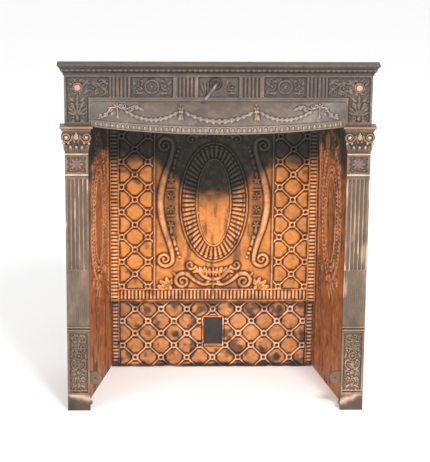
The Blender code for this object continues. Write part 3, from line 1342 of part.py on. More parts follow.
def make_jamb():
    """Model the right side plate of the firebox with its two flanges."""
    start, end, direction, inward = jamb_line()
    outer_start = start - inward * JAMB_PLATE
    outer_end = end - inward * JAMB_PLATE
    flange_inner = LEG_INNER + GAP
    flange_outer = flange_inner + JAMB_FLANGE
    back_inner = FIREBACK_HALF - BACK_FLANGE
    plan = [
        (flange_inner, JAMB_SEAT), (flange_outer, JAMB_SEAT),
        (flange_outer, FRAME_DEPTH), tuple(outer_start), tuple(outer_end),
        (outer_end.x, OVERALL_BACK), (back_inner, OVERALL_BACK), (back_inner, BACK_FLANGE_FRONT),
        (end.x, BACK_FLANGE_FRONT), (end.x, end.y), (start.x, start.y), (flange_inner, FRAME_DEPTH),
    ]
    bm = bmesh.new()
    add_column(bm, plan, 0.0, FIREBOX_TOP)
    body = object_from(bm, "jamb")
    bm = bmesh.new()
    add_box(bm, (LEG_INNER - OVERSHOOT, JAMB_SEAT - OVERSHOOT, LEG_TOP),
            (FRAME_HALF, FRAME_DEPTH + GAP, FIREBOX_TOP + OVERSHOOT))
    combine(body, object_from(bm, "flange_end"), "DIFFERENCE")
    bm = bmesh.new()
    add_jamb_ornament(bm)
    return combine(body, object_from(bm, "jamb_relief"), "UNION")


def drill_jamb(body):
    """Drill the small screw hole that only the right jamb has."""
    bm = bmesh.new()
    hole = circle_points((SCREW_HOLE_ALONG, SCREW_HOLE_UP), SCREW_HOLE_RADIUS, 8)
    add_loft(bm, [[on_jamb(along, up, height) for along, up in hole]
                  for height in (OVERSHOOT, -JAMB_PLATE - OVERSHOOT)])
    return combine(body, object_from(bm, "screw_hole"), "DIFFERENCE")


def handle_path():
    """List centre points and radii along the spindle, its bend and the arm."""
    lean = math.radians(HANDLE_ANGLE)
    outward = Vector((-math.sin(lean), 0.0, -math.cos(lean)))
    forward = Vector((0.0, -1.0, 0.0))
    tail = BEARING_BACK + GAP + COLLAR_THICKNESS + SPINDLE_TAIL
    centre = Vector((0.0, -HANDLE_STANDOFF + HANDLE_BEND, 0.0)) + outward * HANDLE_BEND
    path = [(Vector((0.0, tail, 0.0)), HANDLE_ROD)]
    steps = 3
    for step in range(steps + 1):
        angle = math.pi / 2 * step / steps
        spot = centre - outward * HANDLE_BEND * math.cos(angle) + forward * HANDLE_BEND * math.sin(angle)
        path.append((spot, HANDLE_ROD))
    end = Vector((0.0, -HANDLE_STANDOFF, 0.0)) + outward * HANDLE_LENGTH
    path.append((end - outward * HANDLE_ROD, HANDLE_ROD))
    path.append((end - outward * HANDLE_ROD * 0.3, HANDLE_ROD * 0.75))
    path.append((end, HANDLE_ROD * 0.35))
    return path, outward


def make_handle():
    """Model the bent damper handle about its own turning axis, with its collar."""
    path, outward = handle_path()
    across = outward.cross(Vector((0.0, -1.0, 0.0))).normalized()
    sides = 8
    rings = []
    for index, (spot, radius) in enumerate(path):
        before = path[max(index - 1, 0)][0]
        after = path[min(index + 1, len(path) - 1)][0]
        direction = (after - before).normalized()
        other = across.cross(direction).normalized()
        ring = []
        for side in range(sides):
            angle = 2 * math.pi * side / sides
            ring.append(spot + across * radius * math.cos(angle) + other * radius * math.sin(angle))
        rings.append(ring)
    bm = bmesh.new()
    add_loft(bm, rings)
    body = object_from(bm, "handle")
    bm = bmesh.new()
    front = BEARING_BACK + GAP
    add_rod(bm, 0.0, 0.0, COLLAR_RADIUS, front, front + COLLAR_THICKNESS, sides=12)
    combine(body, object_from(bm, "collar"), "UNION")
    body.location = (HANDLE_X, 0.0, HANDLE_UP)
    return body


def make_boss():
    """Model one domed rosette boss with its stud, on the right side."""
    bm = bmesh.new()
    seat = PANEL_DEPTH - GAP
    sides = 10
    rings = [circle_points((BOSS_X, BOSS_UP), STUD_RADIUS, sides),
             circle_points((BOSS_X, BOSS_UP), STUD_RADIUS, sides)]
    depths = [seat + STUD_LENGTH, seat]
    for share, rise in ((1.0, 0.0), (1.0, 0.30), (0.80, 0.62), (0.40, 0.92), (0.12, 1.0)):
        rings.append(circle_points((BOSS_X, BOSS_UP), BOSS_RADIUS * share, sides))
        depths.append(seat - BOSS_HEIGHT * rise)
    add_loft(bm, [[(x, depth, z) for x, z in ring] for ring, depth in zip(rings, depths)])
    return object_from(bm, "boss")


def make_foot_bolt():
    """Model the bolt through the inner wall of the right leg, with its round head inside."""
    bm = bmesh.new()
    seat = LEG_INNER - GAP
    middle = (FOOT_BOLT_DEPTH, FOOT_BOLT_UP)
    rings = []
    sides = 8
    places = [(LEG_INNER + FRAME_WALL * 1.5, FOOT_BOLT_SHANK_RADIUS), (seat, FOOT_BOLT_SHANK_RADIUS),
              (seat, FOOT_BOLT_HEAD_RADIUS), (seat - FOOT_BOLT_HEAD * 0.6, FOOT_BOLT_HEAD_RADIUS),
              (seat - FOOT_BOLT_HEAD, FOOT_BOLT_HEAD_RADIUS * 0.6)]
    for x, radius in places:
        rings.append([(x, y, z) for y, z in circle_points(middle, radius, sides)])
    add_loft(bm, rings)
    return object_from(bm, "foot_bolt")


def main():
    """Build every casting and fitting of the insert."""
    clear_scene()
    datum = bpy.data.objects.new("datum", None)
    bpy.context.scene.collection.objects.link(datum)
    datum.location = (0.0, -MIDDLE_DEPTH, 0.0)
    bronzed = bronzed_iron()
    coppered = coppered_iron()
    dress(make_lintel(), "lintel", bronzed, datum)
    leg = make_leg()
    dress(mirrored(leg, "pilaster_left"), "pilaster_left", bronzed, datum)
    dress(leg, "pilaster_right", bronzed, datum)
    dress(make_hood(), "hood", pewter_iron(), datum)
    dress(make_fireback_upper(), "fireback_upper", coppered, datum)
    dress(make_fireback_lower(), "fireback_lower", coppered, datum)
    jamb = make_jamb()
    dress(mirrored(jamb, "jamb_left"), "jamb_left", coppered, datum)
    dress(drill_jamb(jamb), "jamb_right", coppered, datum)
    copper = worn_copper()
    boss = make_boss()
    dress(mirrored(boss, "boss_left"), "boss_left", copper, datum, smooth_angle=40.0)
    dress(boss, "boss_right", copper, datum, smooth_angle=40.0)
    steel = dark_steel()
    bolt = make_foot_bolt()
    dress(mirrored(bolt, "foot_bolt_left"), "foot_bolt_left", steel, datum, smooth_angle=40.0)
    dress(bolt, "foot_bolt_right", steel, datum, smooth_angle=40.0)
    dress(make_pipe_cover(), "pipe_cover", steel, datum)
    dress(make_handle(), "damper_handle", steel, datum, smooth_angle=40.0)


main()
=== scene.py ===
"""Dresses the cast iron fireplace insert: reliefs, platings, soot, floor, light and camera."""

import math

import bpy
import numpy as np
from mathutils import Matrix, Vector


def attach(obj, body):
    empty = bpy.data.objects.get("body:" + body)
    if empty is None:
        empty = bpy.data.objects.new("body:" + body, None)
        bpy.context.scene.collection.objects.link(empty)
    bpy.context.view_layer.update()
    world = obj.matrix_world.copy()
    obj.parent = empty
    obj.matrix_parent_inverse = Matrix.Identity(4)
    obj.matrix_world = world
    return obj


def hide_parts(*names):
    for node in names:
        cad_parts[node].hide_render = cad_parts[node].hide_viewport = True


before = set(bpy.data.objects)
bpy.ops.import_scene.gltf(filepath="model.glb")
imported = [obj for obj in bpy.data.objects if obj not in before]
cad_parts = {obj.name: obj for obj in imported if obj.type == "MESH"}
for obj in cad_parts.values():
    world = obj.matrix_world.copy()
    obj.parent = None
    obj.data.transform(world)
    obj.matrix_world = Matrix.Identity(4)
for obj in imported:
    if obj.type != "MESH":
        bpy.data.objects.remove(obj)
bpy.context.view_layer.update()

# The front face of the frieze stands this far behind the middle of the footprint
FACE = -0.1223

# Main sizes, in metres, as in the solids
FRAME_HALF = 0.381
LEG_INNER = 0.323
LEG_MIDDLE = 0.352
DROP_INNER = 0.3165
FRIEZE_FOOT = 0.8222
DROP_FOOT = 0.7623
LEG_TOP = 0.762
CORNICE_FOOT = 0.89
CORNICE_TOP = 0.92
BACK_PLANE = 0.3
LOWER_PLANE = 0.3063
ORNAMENT_MIDDLE = 0.47
PITCH = 0.0349
BOSS_PLACE = (0.348, 0.859)
HANDLE_X = -0.008
HANDLE_UP = 0.8685

# The fields, lines and bars of the two back plates
PLATE_HALF = 0.2762
PLATE_FOOT = 0.188
PLATE_TOP = 0.8
LOWER_HALF = 0.2715
LOWER_TOP = 0.205
FIELD_NEAR = 0.1612
FIELD_FAR = 0.2522
FIELD_FOOT = 0.2262
FIELD_HEAD = 0.7138
LINE = 0.2537
BAR_NEAR = 0.2555
BAR_PITCH = 0.01
REED_PITCH = 0.00983
PIPE_LEFT, PIPE_RIGHT = -0.0236, 0.0257
PIPE_LOW, PIPE_HIGH = 0.0662, 0.1432

# Thickness of the walls behind the frieze and the legs, and where the legs' backs stand
WALL = 0.006
PLATE_BACK = 0.0075
LEG_BACK = 0.0117
SIDE_BACK = 0.02

# A height that no place of a relief has, and a length too small to matter
BELOW = -1.0
TINY = 1e-12
SMOOTH_ANGLE = math.radians(38.0)


# small helpers
def ramp(value, low, high):
    """Rise smoothly from 0 at low to 1 at high."""
    t = np.clip((value - low) / (high - low), 0.0, 1.0)
    return t * t * (3.0 - 2.0 * t)


def dome(q):
    """Section of a rounded bead: 1 in the middle, 0 at q = 1."""
    return np.sqrt(np.clip(1.0 - q * q, 0.0, 1.0)) ** 1.3


def flat_top(q, edge=0.35):
    """Section of a flat band with short sloping sides."""
    return 1.0 - ramp(q, 1.0 - edge, 1.0)


def blur(field, size):
    """Average a map over a square of cells, twice."""
    for _ in range(2):
        for axis in (0, 1):
            pad = [(0, 0), (0, 0)]
            pad[axis] = (size, size)
            wide = np.pad(field, pad, mode="edge")
            total = np.cumsum(wide, axis=axis)
            if axis == 0:
                total = np.vstack([np.zeros((1, total.shape[1])), total])
                field = (total[2 * size + 1:] - total[:-2 * size - 1]) / (2 * size + 1)
            else:
                total = np.hstack([np.zeros((total.shape[0], 1)), total])
                field = (total[:, 2 * size + 1:] - total[:, :-2 * size - 1]) / (2 * size + 1)
    return field


def noise(a, u, size, seed, octaves=3):
    """Smooth value noise over two coordinates, about -1 to 1."""
    rng = np.random.default_rng(seed)
    total = np.zeros(np.broadcast(a, u).shape)
    scale = 1.0
    for _ in range(octaves):
        table = rng.uniform(-1.0, 1.0, (64, 64))
        x = a / size + 17.3
        y = u / size + 5.1
        i = np.floor(x).astype(int)
        j = np.floor(y).astype(int)
        fx = x - i
        fy = y - j
        fx = fx * fx * (3 - 2 * fx)
        fy = fy * fy * (3 - 2 * fy)
        low = table[i % 64, j % 64] * (1 - fx) + table[(i + 1) % 64, j % 64] * fx
        high = table[i % 64, (j + 1) % 64] * (1 - fx) + table[(i + 1) % 64, (j + 1) % 64] * fx
        total += scale * (low * (1 - fy) + high * fy)
        size *= 0.5
        scale *= 0.5
    return total / 1.5


def spaced(*runs):
    """Join runs of (start, end, step) into one list of grid lines."""
    lines = [runs[0][0]]
    for start, end, step in runs:
        count = max(1, int(round((end - start) / step)))
        lines += [start + (end - start) * (i + 1) / count for i in range(count)]
    return np.array(lines)


def arc(centre, radius, start, end, steps, stretch=1.0):
    """Points on an arc, angles in degrees."""
    return [(centre[0] + radius * math.cos(math.radians(t)),
             centre[1] + radius * stretch * math.sin(math.radians(t)))
            for t in np.linspace(start, end, steps + 1)]


def curl(centre, inner, outer, start, end, steps=26):
    """Points of a spiral whose radius grows from inner to outer, angles in degrees."""
    points = []
    for share in np.linspace(0.0, 1.0, steps + 1):
        angle = math.radians(start + (end - start) * share)
        radius = inner + (outer - inner) * share ** 1.15
        points.append((centre[0] + radius * math.cos(angle), centre[1] + radius * math.sin(angle)))
    return points


def curve(*anchors, steps=14):
    """Points on a cubic through groups of start, two leads and end."""
    p = [np.array(anchor) for anchor in anchors]
    points = [tuple(p[0])]
    for t in np.linspace(0.0, 1.0, steps + 1)[1:]:
        s = 1 - t
        points.append(tuple(s ** 3 * p[0] + 3 * s * s * t * p[1] + 3 * s * t * t * p[2] + t ** 3 * p[3]))
    return points


def mirror(points, side):
    """Carry points to one side of the middle."""
    return [(side * a, u) for a, u in points]


class Relief:
    """A map of heights over a grid of places along and up one face of a casting."""

    def __init__(self, along, up):
        self.along = np.asarray(along, float)
        self.up = np.asarray(up, float)
        self.height = np.zeros((len(self.up), len(self.along)))
        self.grid = np.meshgrid(self.along, self.up)
        self.soot = np.zeros_like(self.height)
        self.wear = np.zeros_like(self.height)
        # Painted highlight on raised places, and rubbed streaks on the side plates
        self.highlight_and_rubbing = np.zeros_like(self.height)
        self.dark = np.zeros_like(self.height)
        self.calm = np.zeros_like(self.height)

    def window(self, low_a, low_u, high_a, high_u):
        """Return the part of the grid inside a box, with its coordinates."""
        i0, i1 = np.searchsorted(self.along, (low_a, high_a))
        j0, j1 = np.searchsorted(self.up, (low_u, high_u))
        part = (slice(j0, j1), slice(i0, i1))
        return part, self.grid[0][part], self.grid[1][part]

    def lift(self, part, value):
        """Raise a part of the map to a new height where that is higher."""
        self.height[part] = np.maximum(self.height[part], value)

    def stroke(self, points, width, height, section=dome):
        """Raise a bead or band along a line of points."""
        points = np.asarray(points, float)
        widths = np.broadcast_to(np.asarray(width, float), (len(points),)) / 2
        for k in range(len(points) - 1):
            p, q = points[k], points[k + 1]
            reach = max(widths[k], widths[k + 1])
            part, a, u = self.window(min(p[0], q[0]) - reach, min(p[1], q[1]) - reach,
                                     max(p[0], q[0]) + reach, max(p[1], q[1]) + reach)
            if a.size == 0:
                continue
            d = q - p
            length = float(d @ d) or TINY
            t = np.clip(((a - p[0]) * d[0] + (u - p[1]) * d[1]) / length, 0.0, 1.0)
            away = np.hypot(a - p[0] - t * d[0], u - p[1] - t * d[1])
            half = widths[k] + (widths[k + 1] - widths[k]) * t
            share = away / np.maximum(half, 1e-6)
            self.lift(part, np.where(share < 1.0, height * section(np.minimum(share, 1.0)), BELOW))

    def knob(self, centre, radius, height, stretch=1.0):
        """Raise a round or oval knob."""
        part, a, u = self.window(centre[0] - radius, centre[1] - radius * stretch,
                                 centre[0] + radius, centre[1] + radius * stretch)
        share = np.hypot((a - centre[0]) / radius, (u - centre[1]) / (radius * stretch))
        self.lift(part, np.where(share < 1.0, height * dome(np.minimum(share, 1.0)), BELOW))

    def ring(self, centre, radius, width, height, stretch=1.0):
        """Raise a round moulding."""
        reach = radius + width / 2
        part, a, u = self.window(centre[0] - reach, centre[1] - reach * stretch,
                                 centre[0] + reach, centre[1] + reach * stretch)
        away = np.abs(np.hypot(a - centre[0], (u - centre[1]) / stretch) - radius) / (width / 2)
        self.lift(part, np.where(away < 1.0, height * dome(np.minimum(away, 1.0)), BELOW))

    def beads(self, points, spacing, radius, height, stretch=1.0):
        """Set a row of round beads along a line."""
        points = np.asarray(points, float)
        steps = np.hypot(*np.diff(points, axis=0).T)
        along = np.concatenate([[0.0], np.cumsum(steps)])
        count = max(1, int(round(along[-1] / spacing)))
        for share in np.linspace(0.0, along[-1], count + 1):
            spot = (np.interp(share, along, points[:, 0]), np.interp(share, along, points[:, 1]))
            self.knob(spot, radius, height, stretch)

    def leaf(self, root, tip, width, height, belly=0.45, lobes=0, vein=0.35):
        """Raise a pointed leaf with a vein, and with a lobed edge where lobes are asked for."""
        root = np.asarray(root, float)
        tip = np.asarray(tip, float)
        d = tip - root
        length = float(np.hypot(*d)) or 1e-9
        d = d / length
        reach = width / 2 + 0.001
        part, a, u = self.window(min(root[0], tip[0]) - reach, min(root[1], tip[1]) - reach,
                                 max(root[0], tip[0]) + reach, max(root[1], tip[1]) + reach)
        if a.size == 0:
            return
        t = ((a - root[0]) * d[0] + (u - root[1]) * d[1]) / length
        s = (u - root[1]) * d[0] - (a - root[0]) * d[1]
        rise = np.clip(t / belly, 0.0, 1.0) ** 0.6
        fall = np.clip((1.0 - t) / (1.0 - belly), 0.0, 1.0) ** 0.75
        half = width / 2 * rise * fall
        if lobes:
            half = half * (0.72 + 0.28 * np.abs(np.sin(math.pi * lobes * t)))
        share = np.abs(s) / np.maximum(half, 1e-6)
        body = dome(np.minimum(share, 1.0)) * (0.6 + 0.4 * np.sin(math.pi * np.clip(t, 0, 1)))
        if lobes:
            body = body * (0.86 + 0.14 * np.abs(np.sin(math.pi * lobes * t)))
        body = body * (1.0 - vein * np.exp(-(s / (width * 0.07)) ** 2))
        inside = (share < 1.0) & (t > 0.0) & (t < 1.0)
        self.lift(part, np.where(inside, height * body, BELOW))

    def flower(self, centre, reach, petals, height, turn=90.0, stretch=1.0, width=0.55):
        """Raise a flower of petals around a button."""
        for k in range(petals):
            angle = math.radians(turn + 360.0 * k / petals)
            start = (centre[0] + reach * 0.15 * math.cos(angle),
                     centre[1] + reach * 0.15 * stretch * math.sin(angle))
            tip = (centre[0] + reach * math.cos(angle), centre[1] + reach * stretch * math.sin(angle))
            self.leaf(start, tip, reach * width, height, belly=0.6, vein=0.3)
        self.knob(centre, reach * 0.24, height * 1.25)

    def spray(self, centre, reach, leaves, turn, spread, width, height, lobes=0):
        """Raise a fan of leaves, the middle one longest."""
        for k in range(leaves):
            share = k / max(leaves - 1, 1) - 0.5
            angle = math.radians(turn + spread * share)
            long = reach * (1.0 - 0.35 * abs(share) * 2)
            tip = (centre[0] + long * math.cos(angle), centre[1] + long * math.sin(angle))
            self.leaf(centre, tip, width, height, belly=0.6, lobes=lobes)

    def scroll(self, points, width, height, eye=0.0):
        """Raise a tapering scroll, with a round eye at its first point."""
        self.stroke(points, width * (0.45 + 0.55 * np.linspace(0.0, 1.0, len(points))), height)
        if eye:
            self.knob(points[0], eye, height * 1.15)


class Half:
    """One half of a mirrored ornament. Its places are counted out from the middle."""

    def __init__(self, relief, hand, middle=0.0, level=0.0, fold=1):
        self.relief = relief
        self.hand = hand
        self.middle = middle
        self.level = level
        self.fold = fold

    def at(self, a, u):
        """Carry a place of the half to the face."""
        return self.middle + self.hand * a, self.level + self.fold * u

    def leaves(self, rows, height, **form):
        """Raise leaves, each given by its root, its tip and its width."""
        for root, tip, width in rows:
            self.relief.leaf(self.at(*root), self.at(*tip), width, height, **form)

    def knob(self, place, radius, height, stretch=1.0):
        """Raise a knob."""
        self.relief.knob(self.at(*place), radius, height, stretch)

    def stroke(self, places, width, height):
        """Raise a line through places."""
        self.relief.stroke([self.at(*place) for place in places], width, height)

    def sweep(self, *places, steps=14):
        """Points of a curve through places."""
        return curve(*[self.at(*place) for place in places], steps=steps)

    def coil(self, heart, radii, start, turn, steps, squeeze=1.0):
        """Points of a spiral about a place."""
        points = curl((0.0, 0.0), radii[0], radii[1], start, start + turn, steps)
        return [self.at(heart[0] + a, heart[1] + u * squeeze) for a, u in points]

    def scroll(self, heart, radii, start, turn, steps, width, height, eye, squeeze=1.0):
        """Raise a spiral scroll and return its points."""
        points = self.coil(heart, radii, start, turn, steps, squeeze)
        self.relief.scroll(points, width, height, eye)
        return points


BLOCK_FACES = ((0, 3, 2, 1), (4, 5, 6, 7), (0, 1, 5, 4), (1, 2, 6, 5), (2, 3, 7, 6), (3, 0, 4, 7))


def combine_parts(name, parts):
    """Make one mesh object of (points, faces, attributes) groups."""
    points = []
    faces = []
    store = {"ridge": [], "cavity": [], "soot": [], "wear": []}
    start = 0
    for coords, polys, marks in parts:
        points.append(np.asarray(coords, float))
        faces += [tuple(start + int(i) for i in poly) for poly in polys]
        for key in store:
            values = marks.get(key) if marks else None
            values = np.zeros(len(coords)) if values is None else np.asarray(values, float)
            store[key].append(values.ravel())
        start += len(coords)
    mesh = bpy.data.meshes.new(name)
    mesh.from_pydata(np.concatenate(points).tolist(), [], faces)
    for key, values in store.items():
        layer = mesh.attributes.new(key, "FLOAT", "POINT")
        layer.data.foreach_set("value", np.concatenate(values).astype(np.float32))
    mesh.validate()
    item = bpy.data.objects.new(name, mesh)
    bpy.context.scene.collection.objects.link(item)
    return item


def grid_part(x, y, z, marks=None, flip=False, mask=None):
    """A sheet of quads over rows and columns of points."""
    rows, columns = x.shape
    index = np.arange(rows * columns).reshape(rows, columns)
    corners = np.stack([index[:-1, :-1], index[:-1, 1:], index[1:, 1:], index[1:, :-1]], axis=-1)
    if mask is not None:
        corners = corners[mask]
    corners = corners.reshape(-1, 4)
    if flip:
        corners = corners[:, ::-1]
    coords = np.stack([x.ravel(), y.ravel(), z.ravel()], axis=-1)
    return coords, corners, marks


def face_marks(relief, full=0.0012, deep=0.0009):
    """Work out which places of a relief are raised, for rubbing and painted highlight, and which are
    hollow, for painted shade and dirt.
    """
    near = blur(relief.height, 2)
    broad = blur(relief.height, 4)
    # Raised places get painted highlight, hollow places painted shade
    high = np.clip((relief.height - broad) / full, 0.0, 1.0) * (1.0 - relief.calm)
    low = np.clip((near - relief.height) / deep - 0.15, 0.0, 1.0)
    return {
        "ridge": np.clip(np.maximum(high, relief.highlight_and_rubbing), 0.0, 1.0),
        "cavity": np.clip(np.maximum(low, relief.dark), 0.0, 1.0),
        "soot": relief.soot, "wear": relief.wear,
    }


def plate_parts(relief, place, thickness, flip=False, full=0.0012, deep=0.0009):
    """The relief as a closed slab: its face, its four edges and a plain back."""
    a, u = relief.grid
    x, y, z = place(a, u, relief.height)
    parts = [grid_part(x, y, z, face_marks(relief, full, deep), flip)]
    bx, by, bz = place(a, u, np.full_like(relief.height, -thickness))
    edges = [(slice(None), 0), (slice(None), -1), (0, slice(None)), (-1, slice(None))]
    turned = (True, False, False, True)
    for edge, turn in zip(edges, turned):
        ex = np.stack([bx[edge], x[edge]])
        ey = np.stack([by[edge], y[edge]])
        ez = np.stack([bz[edge], z[edge]])
        shade = {"soot": np.stack([relief.soot[edge]] * 2)}
        parts.append(grid_part(ex, ey, ez, shade, turn != flip))
    step_u = max(1, len(relief.up) // 24)
    step_a = max(1, len(relief.along) // 24)
    rows = sorted(set(list(range(0, len(relief.up), step_u)) + [len(relief.up) - 1]))
    columns = sorted(set(list(range(0, len(relief.along), step_a)) + [len(relief.along) - 1]))
    pick = np.ix_(rows, columns)
    parts.append(grid_part(bx[pick], by[pick], bz[pick], {"soot": relief.soot[pick]}, not flip))
    return parts


def block_part(corners, low, high, marks=None):
    """A closed block over a plan of four corners."""
    points = [(x, FACE + y, z) for z in (low, high) for x, y in corners]
    return points, [tuple(face) for face in BLOCK_FACES], marks


def box_part(low, high):
    """A closed box, with depths counted from the front plane."""
    (x0, y0, z0), (x1, y1, z1) = low, high
    return block_part([(x0, y0), (x1, y0), (x1, y1), (x0, y1)], z0, z1)


def tube_part(path, radii, sides=16, marks=None):
    """A round bar along a line of points, closed at both ends."""
    path = [Vector(p) for p in path]
    rings = []
    normal = None
    for k, spot in enumerate(path):
        ahead = path[min(k + 1, len(path) - 1)] - path[max(k - 1, 0)]
        ahead.normalize()
        if normal is None:
            normal = ahead.orthogonal().normalized()
        normal = (normal - ahead * normal.dot(ahead)).normalized()
        other = ahead.cross(normal)
        rings.append([spot + radii[k] * (normal * math.cos(t) + other * math.sin(t))
                      for t in np.linspace(0, 2 * math.pi, sides, endpoint=False)])
    points = [tuple(p) for ring in rings for p in ring]
    faces = []
    for k in range(len(rings) - 1):
        for s in range(sides):
            n = (s + 1) % sides
            faces.append((k * sides + s, k * sides + n, (k + 1) * sides + n, (k + 1) * sides + s))
    faces.append(tuple(reversed(range(sides))))
    last = (len(rings) - 1) * sides
    faces.append(tuple(last + s for s in range(sides)))
    return points, faces, marks


def lathe_part(profile, centre, axis="y", sides=48, marks=None):
    """Turn a profile of (radius, along axis) points about an axis through centre."""
    points = []
    for radius, level in profile:
        for t in np.linspace(0, 2 * math.pi, sides, endpoint=False):
            if axis == "y":
                points.append((centre[0] + radius * math.cos(t), centre[1] + level,
                               centre[2] + radius * math.sin(t)))
            else:
                points.append((centre[0] + level, centre[1] + radius * math.cos(t),
                               centre[2] + radius * math.sin(t)))
    faces = []
    rows = len(profile)
    for k in range(rows - 1):
        for s in range(sides):
            n = (s + 1) % sides
            faces.append((k * sides + s, (k + 1) * sides + s, (k + 1) * sides + n, k * sides + n))
    faces.append(tuple(range(sides)))
    last = (rows - 1) * sides
    faces.append(tuple(last + s for s in reversed(range(sides))))
    return points, faces, marks


def facing(depth):
    """Map along, up and height to a face that looks towards -Y."""
    def place(a, u, h):
        return a, FACE + depth - h, u
    return place


def settle(item, node, body, material):
    """Finish one visual piece: shading, material, body and node."""
    item.data.materials.append(material)
    item.data.shade_smooth()
    item.data.set_sharp_from_angle(angle=SMOOTH_ANGLE)
    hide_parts(node)
    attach(item, body)


# the fireback
def lattice(relief, part, a, u, middle_a, low_u, limits, pillow=0.0026, broad=0.0028):
    """Fill a field with ringed studs, diagonal bars and a cushion in every mesh."""
    x = (a - middle_a) / PITCH
    y = (u - low_u) / PITCH
    first = np.abs((x + y + 1.0) % 2.0 - 1.0) * PITCH / math.sqrt(2.0)
    second = np.abs((x - y + 1.0) % 2.0 - 1.0) * PITCH / math.sqrt(2.0)
    bar = np.minimum(first, second)
    round_ = np.hypot(first, second)
    near_a, far_a, near_u, far_u = limits
    edge = np.minimum.reduce([a - near_a, far_a - a, u - near_u, far_u - u])
    inside = ramp(edge, 0.0, 0.0008)
    ring = flat_top(np.abs(round_ - 0.0064) / broad, 0.6) * 0.0044
    strip = flat_top(bar / broad, 0.6) * 0.0036 * ramp(round_, 0.005, 0.007)
    even = np.round((x + y - 1.0) / 2.0)
    odd = np.round((x - y - 1.0) / 2.0)
    across = np.abs(x - (even + odd + 1.0)) * PITCH
    along = np.abs(y - (even - odd)) * PITCH
    room = np.minimum.reduce([bar - 0.004, 0.0224 - across, 0.0216 - along, edge - 0.0026])
    cushion = pillow * (0.8 + 0.2 * ramp(room, 0.0, 0.008)) * ramp(room, 0.0, 0.0016)
    # Which side of its cushion a place lies on: the painted shadow is heavier on the lower left
    leaning = 0.6 * (x - (even + odd + 1.0)) + 0.8 * (y - (even - odd))
    cushion = np.where(room > 0.0, cushion, 0.0)
    value = np.maximum.reduce([ring, strip, cushion]) * inside
    hole = 1.0 - ramp(round_, 0.0026, 0.0042)
    value -= 0.0026 * hole * inside
    relief.height[part] = np.where(edge > 0.0, value, relief.height[part])
    # Rings and bars get painted highlight; ring holes and the gaps round raised parts get painted shadow,
    # with grime blotches by the cushion edges
    raised = np.maximum(ramp(ring, 0.003, 0.004), ramp(strip, 0.0024, 0.0034)) * inside
    gap = ramp(np.maximum(cushion, np.maximum(ring, strip)), 0.001, 0.0002) * inside
    gap = gap * (0.5 + 0.45 * ramp(leaning, 0.3, -0.3))
    grime = 0.45 * ramp(room, 0.005, 0.0004) * ramp(noise(a, u, 0.011, 19), -0.25, 0.45) * (room > 0.0)
    gap = np.maximum(gap, grime)
    relief.calm[part] = np.maximum(relief.calm[part], 0.85 * ramp(room, 0.0, 0.002))
    relief.highlight_and_rubbing[part] = np.maximum(relief.highlight_and_rubbing[part], raised)
    relief.dark[part] = np.maximum(relief.dark[part], np.maximum(gap, 0.8 * hole))


def ladder(relief, near, far, foot, top, pitch, height=0.0032, upright=False):
    """Raise a row of short rounded bars between two lines."""
    part, a, u = relief.window(near, foot, far, top)
    if upright:
        phase = ((a - near) / pitch) % 1.0
        edge = np.minimum(u - foot, top - u)
    else:
        phase = ((u - foot) / pitch) % 1.0
        edge = np.minimum(a - near, far - a)
    off = np.abs(phase - 0.5)
    body = dome(np.minimum(off / 0.36, 1.0)) * np.sqrt(np.clip(edge / 0.003, 0.0, 1.0))
    relief.lift(part, height * body)
    # Painted shade between the bars and painted highlight on their tops
    gap = ramp(off, 0.34, 0.46) * ramp(edge, 0.0, 0.001)
    relief.dark[part] = np.maximum(relief.dark[part], 0.55 * gap)
    relief.highlight_and_rubbing[part] = np.maximum(relief.highlight_and_rubbing[part], 0.8 * ramp(body, 0.35, 0.85))


def oval_ring(relief):
    """Raise the oval wreath of radial reeds with its rims and its dished middle."""
    part, a, u = relief.window(-0.102, ORNAMENT_MIDDLE - 0.176, 0.102, ORNAMENT_MIDDLE + 0.176)
    x = np.abs(a)
    y = np.abs(u - ORNAMENT_MIDDLE)
    extra = 0.075
    low = np.full_like(x, 0.0005)
    high = np.full_like(x, 0.16)
    for _ in range(22):
        half = (low + high) / 2
        outside = (x / half) ** 2 + (y / (half + extra)) ** 2 > 1.0
        low = np.where(outside, half, low)
        high = np.where(outside, high, half)
    w = (low + high) / 2
    angle = np.arctan2((u - ORNAMENT_MIDDLE) / (w + extra), a / np.maximum(w, 1e-5))
    table = np.linspace(-math.pi, math.pi, 721)
    px = 0.068 * np.cos(table)
    py = 0.143 * np.sin(table)
    length = np.concatenate([[0.0], np.cumsum(np.hypot(np.diff(px), np.diff(py)))])
    phase = np.interp(angle, table, length / length[-1]) * 56.0
    q = np.abs((phase % 1.0) - 0.5) * 2.0
    grow = np.clip((w - 0.05) / 0.03, 0.0, 1.0)
    reed = dome(np.minimum(q / (0.62 + 0.16 * grow), 1.0))
    slope = 0.0028 + 0.0022 * grow
    lane = np.sqrt(np.clip((w - 0.0492) / 0.003, 0.0, 1.0))
    lane = lane * np.sqrt(np.clip((0.0775 - w) / 0.003, 0.0, 1.0))
    head = np.hypot(q * 0.0046, w - 0.0808) / 0.004
    value = slope * reed * lane
    value = np.maximum(value, 0.005 * dome(np.minimum(head, 1.0)))
    for middle, width, height in ((0.0452, 0.003, 0.004), (0.04, 0.0018, 0.0026), (0.089, 0.0024, 0.004)):
        value = np.maximum(value, height * dome(np.minimum(np.abs(w - middle) / width, 1.0)))
    value = np.where(w < 0.0385, 0.0022 - 0.0036 * np.clip(1.0 - w / 0.0385, 0.0, 1.0) ** 0.7, value)
    relief.lift(part, np.where(w < 0.0915, value, BELOW))
    # Painted shade between the reeds and in the grooves beside the rims
    between = ramp(q, 0.62, 0.9) * ramp(w, 0.049, 0.051) * ramp(w, 0.0845, 0.08)
    trench = np.exp(-((w - 0.0863) / 0.001) ** 2) + np.exp(-((w - 0.0485) / 0.0008) ** 2)
    relief.dark[part] = np.maximum(relief.dark[part], np.clip(0.9 * between + 0.9 * trench, 0.0, 1.0))
    relief.calm[part] = np.where(w < 0.0385, 0.6, 0.15 * (w < 0.0915))


